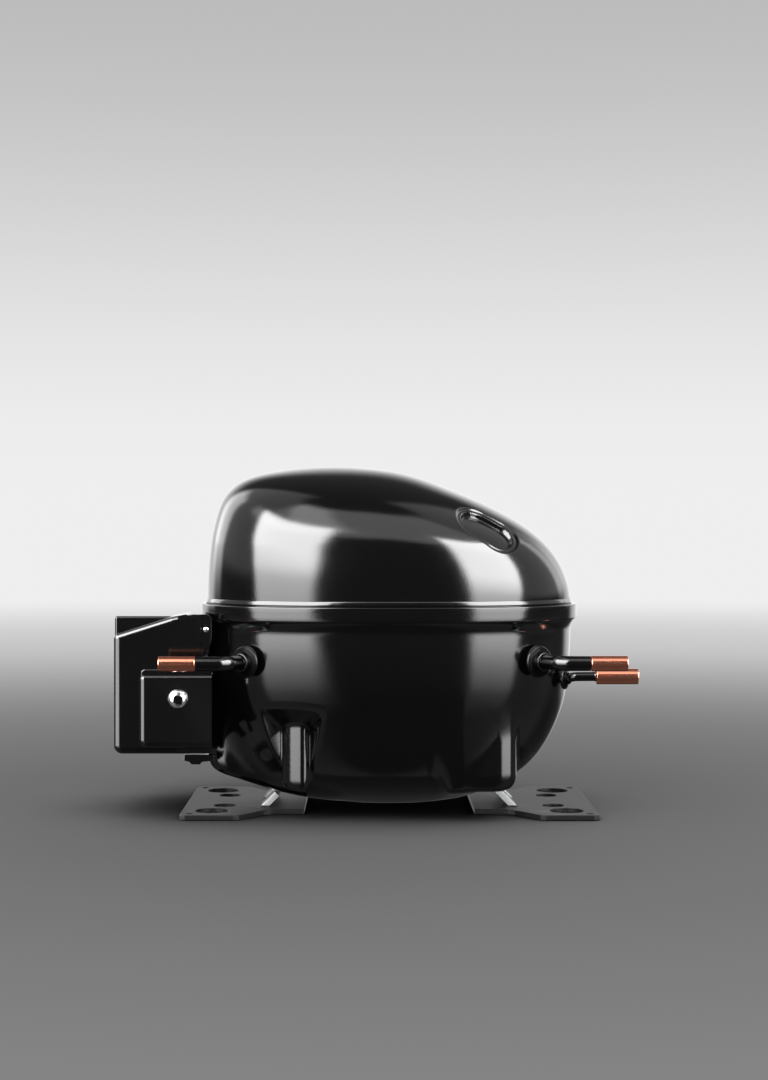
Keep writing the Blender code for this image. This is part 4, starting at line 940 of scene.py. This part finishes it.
# ------------------------------------------------------------------- foot plates
def foot(name, node, sgn, top):
    t = 2.5
    ex, hy = 99.5, 50.0
    half = [(ex - 3, -hy), (ex - 0.8, -hy + 0.8), (ex, -hy + 3), (ex, hy - 3), (ex - 0.8, hy - 0.8), (ex - 3, hy),
            (74.0, hy), (71.3, hy - 0.8), (60.5, 34.2), (57.5, 32.0), (41.0, 30.0), (41.0, -30.0), (57.5, -32.0), (60.5, -34.2),
            (71.3, -hy + 0.8), (74.0, -hy)]
    half = rounded_profile(half, [2.0, 0.6, 2.0, 2.0, 0.6, 2.0, 2.5, 2.5, 4, 4, 1, 1, 4, 4, 2.5, 2.5], 4)
    holes = []
    for s in (-1, 1):
        holes += [circle(85.0, s * 35.0, 8.0, 56), circle(80.2, s * 17.5, 5.3, 44), circle(95.0, s * 44.8, 1.65, 24)]
    if sgn < 0:
        half = [(-x, y) for x, y in half]
        holes = [[(-x, y) for x, y in h] for h in holes]
    ob = raw(name, *slab(half, holes, "Z", 0.0, t, 0.3, 0.42, 3))
    for s in (-1, 1):
        y0, y1 = sorted((s * 6.0, s * 21.5))
        ring = [(66.0, 1.6), (64.4, 0.9), (60.4, 0.6), (top - 3.5, 64.5 - top), (top - 1.4, 66.6 - top), (62.3, 2.9), (63.2, 2.4), (64.6, 2.1)]
        ring = [(sgn * x, z) for x, z in ring]
        ring = rounded_profile(ring, 0.35, 2)
        boolean(ob, [slab(ring, [], "Y", y0, y1, 0.3, 0.3, 2)], "UNION")
    return done(ob, "foot_paint", "shell", [node], sharp=40)


foot("mounting_foot_left", "foot_plate_left", -1, 57.0)
foot("mounting_foot_right", "foot_plate_right", 1, 55.0)


# ------------------------------------------------------------------- tubes
def painted_tube(name, node, path, r, ri, flare=None):
    rr = [r] * len(path)
    if flare:
        total = np.cumsum([0] + [(Vector(path[i + 1]) - Vector(path[i])).length for i in range(len(path) - 1)])
        rr = [r + flare[1] * max(0.0, 1 - (total[-1] - d) / flare[0]) for d in total]
    return done(raw(name, *sweep(path, rr, 48, ri)), "shell_paint", "shell", [node], sharp=45, weighted=False)


def dense(path, step):
    """The same path with extra points on its long straights."""
    out = [path[0]]
    for a, b in zip(path[:-1], path[1:]):
        va, vb = Vector(a), Vector(b)
        m = max(1, int((vb - va).length / step))
        out += [tuple(va.lerp(vb, k / m)) for k in range(1, m + 1)]
    return out


painted_tube("process_stub", "process_tube", arc_path([along(PROCESS, -7), (-76.3, -70.0, 75.3), (-89.6, -70.0, 75.3)], 9.0), 3.5, 2.6)
painted_tube("suction_stub", "suction_tube", arc_path([along(SUCTION, -7), (79.4, -70.0, 75.5), (92.2, -70.0, 75.5)], 9.0), 3.5, 2.6)
painted_tube("discharge_stub", "discharge_tube", dense(arc_path([along(DISCHARGE, -7), along(DISCHARGE, 2.5, 0.1), (88.4, -39.4, 67.1), (98.3, -39.5, 67.2)], 3.5), 0.5), 2.2, 1.4, (0.8, 0.22))


def copper_end(name, node, x0, x1, y, z, r, ri):
    s = 1 if x1 > x0 else -1
    e = 0.35
    prof = [(r - e, x0), (r - 0.3 * e, x0 + s * 0.1), (r, x0 + s * e), (r, x0 + s * (e + 0.06)), (r, x0 + s * 0.8)]
    prof += [(r, x1 - s * 0.8), (r, x1 - s * (e + 0.06)), (r, x1 - s * e), (r - 0.3 * e, x1 - s * 0.1), (r - e, x1), (ri + 0.25, x1), (ri, x1 - s * 0.3)]
    prof += [(ri, (x0 + x1) / 2), (ri, x0 + s * 0.3), (ri + 0.25, x0)]
    return done(raw(name, *turned(prof, 56, "X", (0, y, z), True)), "copper_bare", "shell", [node], sharp=40)


copper_end("process_copper", "process_tube_copper_end", -89.9, -106.8, -70.0, 75.3, 3.6, 2.7)
copper_end("suction_copper", "suction_tube_copper_end", 92.5, 109.4, -70.0, 75.5, 3.6, 2.7)
copper_end("discharge_copper", "discharge_tube_copper_end", 98.6, 118.6, -39.5, 67.2, 3.75, 2.9)


def collar(name, node, station, r_out, lift):
    (x, y, z), (nx, ny), r = station
    tx, ty = -ny, nx
    g = r_out / 7.5
    prof = [(r + GAP, lift), (r_out - 0.3, lift), (r_out, lift + 0.3), (r_out, lift + 1.2 * g), (r_out - 0.3 * g, lift + 1.75 * g), (r_out - 0.9 * g, lift + 2.05 * g),
            (r_out - 1.7 * g, lift + 2.15 * g), (r + 2.0 * g, lift + 2.3 * g), (r + 1.3 * g, lift + 2.6 * g), (r + 0.95 * g, lift + 3.2 * g), (r + 0.9 * g, lift + 4.1 * g),
            (r + 0.8 * g, lift + 4.5 * g), (r + 0.6 * g, lift + 4.75 * g), (r + GAP + 0.05, lift + 4.8 * g), (r + GAP, lift + 4.6 * g)]
    loops = []
    n = 72
    for rad, t in prof:
        loops.append([(x + nx * t + tx * rad * math.cos(2 * math.pi * j / n), y + ny * t + ty * rad * math.cos(2 * math.pi * j / n), z + rad * math.sin(2 * math.pi * j / n)) for j in range(n)])
    ob = done(raw(name, *loft(loops, cyclic=True)), "shell_paint", "shell", [node], sharp=60, weighted=False)
    ob.data.materials[0] = COLLAR_LOOK
    return ob


collar("process_collar", "process_tube_collar", PROCESS, 7.5, 1.9)
collar("suction_collar", "suction_tube_collar", SUCTION, 7.5, 1.9)
collar("discharge_collar", "discharge_tube_collar", DISCHARGE, 5.2, 0.9)

# ------------------------------------------------------------------- electrical box
BOX_X0, BOX_X1 = -131.0, -95.4
BOX_FRONT, BOX_SPLIT, BOX_BACK = -45.0, -19.0, 42.0
cover_el = raw("control_cover", *moulded([(BOX_X0, 30.8), (BOX_X1, 30.8), (BOX_X1, 97.3), (-103.6, 95.8), (BOX_X0, 87.2)], [4.0, 1.6, 1.6, 6.0, 2.6],
                                         "Y", BOX_FRONT, BOX_SPLIT, (3.6, 1.9), (0.9, 0.9)))
edge = rounded_profile([(-100.5, 31.0), (-84.2, 31.0), (-84.2, 73.5), (-89.4, 77.0), (-89.4, 97.1), (-100.5, 96.4)], [1.0, 1.2, 2.0, 2.0, 1.2, 1.0], 4)
tongue = rounded_profile([(-95.0, 80.0), (-85.6, 80.0), (-84.6, 86.0), (-84.6, 95.2), (-86.0, 97.0), (-95.0, 97.0)], [1.2, 1.6, 2.0, 1.0, 1.0, 1.2], 4)
boolean(cover_el, [slab(edge, [], "Y", BOX_FRONT + 0.02, BOX_FRONT + 2.6, 0.12, 0.12, 1),
                   slab(tongue, [], "Y", BOX_FRONT + 0.9, BOX_FRONT + 2.4, 0.2, 0.2, 2)], "UNION")
inside = [(BOX_X0 + 2.4, 33.2), (BOX_X1 - 2.4, 33.2), (BOX_X1 - 2.4, 94.4), (-104.0, 92.9), (BOX_X0 + 2.4, 84.6)]
boolean(cover_el, [plate(rounded_profile(inside, 1.2, 3), [], "Y", BOX_FRONT + 2.4, BOX_SPLIT + 5),
                   turned([(2.4, -60), (2.4, -30)], 32, "Y", (-99.3, 0, 57.9))], "DIFFERENCE")
done(cover_el, "cover_plastic", "shell", ["electrical_cover"], sharp=38)

rear_ring = rounded_profile([(-134.0, 30.0), (BOX_X1, 30.0), (BOX_X1, 95.0), (-134.0, 95.0)], [3.0, 1.4, 1.4, 1.6], 4)
side = rounded_profile([(BOX_SPLIT + 0.35, 30.0), (BOX_BACK, 30.0), (BOX_BACK, 79.5), (BOX_SPLIT + 3.0, 95.0), (BOX_SPLIT + 0.35, 95.0)], [1.6, 3.0, 3.0, 5.0, 1.6], 6)
rear = raw("inverter_case", *slab(side, [], "X", -134.0, BOX_X1, 1.2, 0.6, 5))
ribs = []
for k in range(7):
    y = -10.0 + 7.4 * k
    ribs.append(plate(rounded_profile([(y - 1.1, 40.0), (y + 1.1, 40.0), (y + 1.1, 80.0 - 0.28 * max(0, y)), (y - 1.1, 80.0 - 0.28 * max(0, y))], 1.05, 4), [], "X", -136.0, -133.4))
boolean(rear, ribs, "DIFFERENCE")
boolean(rear, [plate([(-131.6, 32.4), (BOX_X1 - 2.4, 32.4), (BOX_X1 - 2.4, 75.0), (-131.6, 75.0)], [], "Y", BOX_SPLIT - 4, BOX_BACK - 2.4)], "DIFFERENCE")
done(rear, "cover_plastic", "shell", ["inverter_housing"], sharp=38)

start = raw("start_cover", *moulded([(-117.4, 34.9), (-78.0, 34.9), (-78.0, 68.9), (-117.4, 68.9)], [3.6, 2.4, 2.4, 2.2], "Y", -55.0, BOX_FRONT - 1.2, (2.8, 1.5), (0.2, 0.2)))
boolean(start, [box_at(-83.6, -60.0, 20.0, -70.0, -40.0, 90.0)], "DIFFERENCE")
boolean(start, [slab(round_rect(-117.8, 34.0, -83.6, 71.2, 2.0, 6), [], "Y", BOX_FRONT - 2.2, BOX_FRONT - 0.35, 0.6, 0.2, 3)], "UNION")
boolean(start, [plate(round_rect(-115.4, 36.9, -86.4, 66.9, 1.5, 3), [], "Y", -52.8, -40.0),
                turned([(2.4, -60), (2.4, -30)], 32, "Y", (-99.3, 0, 57.9))], "DIFFERENCE")
done(start, "cover_plastic", "shell", ["start_device_cover"], sharp=38)

head = [(2.0, -40.0), (2.0, -55.35), (4.15, -55.35), (4.45, -55.5), (4.6, -55.9), (4.58, -56.4), (4.4, -56.95), (4.05, -57.5), (3.5, -58.0),
        (2.9, -58.35), (2.2, -58.6), (1.2, -58.75), (0.4, -58.8)]
screw = raw("cover_fixing_screw", *turned(head, 64, "Y", (-99.3, 0, 57.9)))
boolean(screw, [plate([(-98.95 + 2.75 * math.cos(a), 57.6 + 2.75 * math.sin(a)) for a in [math.radians(35 + 90 * k) for k in range(4)]], [], "Y", -60.0, -55.9)], "DIFFERENCE")
bevel(screw, 0.09, 2, 40)
done(screw, "bright_screw", "shell", ["cover_screw"], sharp=35)

clip = rounded_profile([(-97.5, 30.4), (-97.5, 27.6), (-95.0, 27.0), (-94.0, 25.8), (-90.0, 25.8), (-89.0, 27.0), (-84.9, 27.4), (-83.5, 29.2), (-83.5, 30.4)], 0.35, 3)
clip_ob = raw("cover_spring_clip", *slab(clip, [], "Y", -44.6, -40.0, 0.25, 0.25, 2))
done(clip_ob, "cover_plastic", "shell", ["cover_clip"], sharp=38)

gs = raw("earth_screw", *turned([(1.25, -44.4), (1.3, -44.6), (1.3, -45.4), (1.15, -45.8), (0.85, -46.0), (0.4, -46.1)], 40, "Y", (-87.0, 0, 89.8)))
boolean(gs, [plate([(-88.2, 89.5), (-85.8, 89.5), (-85.8, 90.1), (-88.2, 90.1)], [], "Y", -48.0, -45.5)], "DIFFERENCE")
done(gs, "bright_screw", "shell", ["ground_screw"], sharp=35)

bracket = raw("terminal_frame", *slab(round_rect(-26, 38, 26, 84, 4), [round_rect(-23.5, 40.5, 23.5, 81.5, 2.5)], "X", -94.9, -90.4, 0.35, 0.35, 2))
done(bracket, "foot_paint", "shell", ["terminal_bracket"], sharp=38)

# ------------------------------------------------------------------- suspension springs and inner discharge line
SX, SPRING_LO, SPRING_HI = 4.0, 23.4, 39.6
k = 0
for sx in (-1, 1):
    for sy in (-1, 1):
        k += 1
        cx, cy = SX + sx * 34.0, sy * 32.0
        turns, wire, mean = 4.0, 1.0, 6.1
        steps = int(turns * (28))
        pts = [(cx + mean * math.cos(2 * math.pi * turns * i / steps), cy + mean * math.sin(2 * math.pi * turns * i / steps),
                SPRING_LO + wire + (SPRING_HI - SPRING_LO - 2 * wire) * i / steps) for i in range(steps + 1)]
        rr = [wire * min(1.0, 0.55 + 0.45 * min(i, steps - i) / 3) for i in range(steps + 1)]
        spring = raw("spring_coil_%d" % k, *sweep(pts, rr, 14))
        done(spring, "steel_plain", None, ["suspension_spring_%d" % k], sharp=50, weighted=False)
        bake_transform(spring)

LOOP = [(-23.4, 33.0, 120.0), (-14.0, 38.0, 120.0), (10.0, 47.0, 117.0), (40.0, 46.0, 114.0), (60.0, 34.0, 108.0), (68.0, 10.0, 96.0),
        (70.0, -12.0, 80.0), (71.5, -24.5, 68.0), (73.2, -31.0, 66.0)]
loop_pipe = raw("shock_loop", *sweep(arc_path(LOOP, 22.0, 4.0), 1.9, 24))
done(loop_pipe, "copper_bare", None, ["discharge_loop_tube"], sharp=50, weighted=False)
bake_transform(loop_pipe)

# =================================================================== carried-over nodes
for name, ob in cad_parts.items():
    if ob.hide_render:
        continue
    base = ob.data.materials[0].name.split(".")[0] if ob.data.materials and ob.data.materials[0] else ""
    look = next((k for k in LOOKS if base.startswith(k)), "steel_plain")
    if len(ob.data.materials):
        for i in range(len(ob.data.materials)):
            ob.data.materials[i] = MATS[look]
    else:
        ob.data.materials.append(MATS[look])

# =================================================================== floor
def floor_mesh():
    n = 96
    radii = [0.0, 0.3, 0.7, 1.2, 2.0, 3.4]
    verts = [(0, 0, 0)]
    faces = []
    for r in radii[1:]:
        verts += [(r * math.cos(2 * math.pi * j / n), r * math.sin(2 * math.pi * j / n), 0) for j in range(n)]
    faces += [(0, 1 + j, 1 + (j + 1) % n) for j in range(n)]
    for i in range(len(radii) - 2):
        a, b = 1 + i * n, 1 + (i + 1) * n
        faces += [(a + j, b + j, b + (j + 1) % n, a + (j + 1) % n) for j in range(n)]
    me = bpy.data.meshes.new("floor")
    me.from_pydata(verts, [], faces)
    ob = bpy.data.objects.new("floor", me)
    ob.location = (0, 0, -0.0002)
    bpy.context.scene.collection.objects.link(ob)
    return ob


floor = floor_mesh()
fm = bpy.data.materials.new("floor_look")
fm.use_nodes = True
net = Net(fm.node_tree)
out = net.node("ShaderNodeOutputMaterial")
o = net.coords()
sep = net.node("ShaderNodeSeparateXYZ")
net.put(o, sep.inputs[0])
rad = net.math("SQRT", net.math("ADD", net.math("POWER", sep.outputs[0], 2.0), net.math("POWER", sep.outputs[1], 2.0)))
surf = net.node("ShaderNodeBsdfPrincipled")
# ambient occlusion turns the floor colour near-black under and beside the object: a painted contact shadow
near = net.node("ShaderNodeAmbientOcclusion")
near.samples = 8
near.inputs["Distance"].default_value = 0.08
# floor colour darker within about a metre of the object, pale further out: painted shade
floor_tone_with_painted_shade = net.mix(net.ramp(rad, 0.15, 1.4), (0.24, 0.24, 0.243), (0.64, 0.64, 0.645))
net.put(net.mix(net.ramp(near.outputs["AO"], 0.05, 0.85), (0.03, 0.03, 0.03), floor_tone_with_painted_shade), surf.inputs["Base Color"])
net.put(net.math("ADD", 0.42, net.math("MULTIPLY", net.noise(o, 60.0, 3.0, 0.6), 0.06)), surf.inputs["Roughness"])
surf.inputs["Specular IOR Level"].default_value = 0.0
haze = net.node("ShaderNodeEmission")
haze.inputs["Strength"].default_value = 0.86
haze.inputs["Color"].default_value = (1.0, 1.0, 1.0, 1.0)
blend_node = net.node("ShaderNodeMixShader")
net.put(net.ramp(rad, 0.45, 3.0), blend_node.inputs[0])
net.t.links.new(surf.outputs[0], blend_node.inputs[1])
net.t.links.new(haze.outputs[0], blend_node.inputs[2])
net.t.links.new(blend_node.outputs[0], out.inputs[0])
floor.data.materials.append(fm)
floor.visible_glossy = False

# =================================================================== world: a photographic studio by direction
world = bpy.data.worlds.new("studio")
world.use_nodes = True
bpy.context.scene.world = world
net = Net(world.node_tree)
wout = net.node("ShaderNodeOutputWorld")
tc = net.node("ShaderNodeTexCoord")
sep = net.node("ShaderNodeSeparateXYZ")
net.put(tc.outputs["Generated"], sep.inputs[0])
az = net.math("MULTIPLY", net.math("ARCTAN2", sep.outputs[0], net.math("MULTIPLY", sep.outputs[1], -1.0)), 180 / math.pi)
el = net.math("MULTIPLY", net.math("ARCSINE", net.math("MINIMUM", net.math("MAXIMUM", sep.outputs[2], -1.0), 1.0)), 180 / math.pi)


def panel(az0, az1, el0, el1, sa=2.0, se=2.0, tilt=0.0):
    """1 inside a soft-edged patch of sky. tilt raises its top edge with azimuth."""
    mid = (az0 + az1) / 2
    top = net.math("ADD", el1, net.math("MULTIPLY", net.math("SUBTRACT", az, mid), tilt)) if tilt else el1
    parts = [net.ramp(az, az0 - sa, az0 + sa), net.ramp(az, az1 - sa, az1 + sa, 1.0, 0.0), net.ramp(el, el0 - se, el0 + se),
             net.ramp(net.math("SUBTRACT", el, top), -se, se, 1.0, 0.0)]
    v = parts[0]
    for q in parts[1:]:
        v = net.math("MULTIPLY", v, q)
    return v


def scaled(v, k):
    return net.math("MULTIPLY", v, k)


def line(base, slope):
    """base + slope x elevation."""
    return net.math("ADD", base, net.math("MULTIPLY", el, slope))


def step(v, edge, soft):
    """0 below the edge, 1 above it."""
    return net.ramp(net.math("SUBTRACT", v, edge), -soft, soft)


def under(v, edge, soft):
    return net.math("SUBTRACT", 1.0, step(v, edge, soft))


def product(*parts):
    v = parts[0]
    for q in parts[1:]:
        v = net.math("MULTIPLY", v, q)
    return v


def total(*parts):
    v = parts[0]
    for q in parts[1:]:
        v = net.math("ADD", v, q)
    return v


# how bright the two big soft boxes are with height: full above 18 degrees, dim at the floor line, almost gone below
climb = total(0.04, *[net.ramp(el, lo, lo + 6.0, 0.0, rise, "LINEAR") for lo, rise in
                      ((-30.0, 0.20), (-24.0, 0.22), (-18.0, 1.6), (-12.0, 4.0), (-6.0, 1.2), (0.0, 1.6), (6.0, 5.5), (12.0, 3.2))])
soft = net.math("ADD", 2.2, net.math("MULTIPLY", net.ramp(el, 4.0, -24.0), 7.0))
aside = net.math("ABSOLUTE", az)
left_box = product(step(az, line(-68.0, -0.36), 1.6), net.math("SUBTRACT", 1.0, net.ramp(net.math("SUBTRACT", az, net.math("ADD", line(-26.0, 0.22), net.math("MULTIPLY", net.ramp(el, 0.0, -24.0, 0.0, 1.0, "LINEAR"), 13.0))), net.math("MULTIPLY", soft, -1.0), soft)), under(el, 50.3, 2.6), climb)
right_box = product(step(az, 29.8, 1.8), under(az, line(66.0, 0.36), 1.6), under(el, 50.5, 2.2), climb)
upper_left = product(step(az, line(5.0, -1.1), 4.0), under(az, line(35.0, -0.85), 4.0), step(el, 47.0, 3.0), under(el, 74.5, 2.0))
band = product(step(az, -74.0, 7.0), under(az, 72.0, 9.0), step(el, 39.8, 2.2), under(el, 77.5, 1.8))
flank = product(net.ramp(aside, 62.0, 80.0), step(el, 5.0, 2.5), under(el, 76.0, 3.0), under(aside, 150.0, 4.0))
beside = product(step(az, -100.0, 6.0), under(az, -80.0, 3.0), step(el, 40.0, 3.0), under(el, 50.0, 3.0))
strip_left = product(step(az, -146.0, 5.0), under(az, -122.0, 3.0), step(el, 2.0, 6.0), under(el, 41.0, 4.0))
strip_right = product(step(az, 126.0, 2.0), under(az, 137.0, 4.0), step(el, 4.0, 6.0), under(el, 40.0, 4.0))
back_glow = product(step(aside, 138.0, 6.0), step(el, -8.0, 5.0), under(el, 24.0, 10.0))
below = net.ramp(el, -6.0, -40.0, 0.0, 0.03)
sides = product(net.ramp(aside, 20.0, 60.0), net.ramp(aside, 125.0, 100.0), net.ramp(el, 0.0, -10.0))
studio = total(net.ramp(el, -24.0, -4.0, 0.03, 0.09), left_box, right_box, net.math("MULTIPLY", upper_left, 2.0), net.math("MULTIPLY", band, 1.45), net.math("MULTIPLY", flank, 0.62),
               net.math("MULTIPLY", beside, 1.5), net.math("MULTIPLY", strip_left, 2.8), net.math("MULTIPLY", strip_right, 1.6),
               net.math("MULTIPLY", back_glow, 1.25), below, net.math("MULTIPLY", sides, 0.12))

seen = net.ramp(el, 1.0, 17.0, 0.86, 0.50)
lp = net.node("ShaderNodeLightPath")
value = net.mixf(lp.outputs["Is Glossy Ray"], 0.55, studio)
value = net.mixf(lp.outputs["Is Camera Ray"], value, seen)
bg = net.node("ShaderNodeBackground")
net.put(value, bg.inputs["Strength"])
bg.inputs["Color"].default_value = (1.0, 1.0, 1.0, 1.0)
net.t.links.new(bg.outputs[0], wout.inputs[0])


# =================================================================== lights and camera
def area(name, loc, target, size, power):
    data = bpy.data.lights.new(name, "AREA")
    data.shape = "RECTANGLE"
    data.size, data.size_y = size
    data.energy = power
    ob = bpy.data.objects.new(name, data)
    ob.location = loc
    ob.rotation_euler = (Vector(target) - Vector(loc)).to_track_quat("-Z", "Y").to_euler()
    ob.visible_camera = False
    ob.visible_glossy = False
    bpy.context.scene.collection.objects.link(ob)
    return ob


area("key", (-0.9, -1.1, 1.3), (0, 0, 0.06), (0.9, 0.9), 5.0)
area("fill", (1.1, -0.8, 1.0), (0, 0, 0.06), (0.8, 0.8), 2.5)
area("rim", (0.3, 1.4, 1.1), (0, 0, 0.06), (1.2, 0.5), 3.0)

cam_data = bpy.data.cameras.new("camera")
cam_data.sensor_width = 36.0
cam_data.sensor_fit = "AUTO"
cam_data.lens = 61.72
cam_data.shift_x = 0.0157
cam_data.shift_y = -0.0064
cam_data.clip_end = 50.0
cam = bpy.data.objects.new("camera", cam_data)
cam.location = (-0.0030, -0.923, 0.1356)
cam.rotation_euler = (math.pi / 2, 0, 0)
bpy.context.scene.collection.objects.link(cam)
bpy.context.scene.camera = cam
bpy.context.scene.view_settings.view_transform = "Standard"
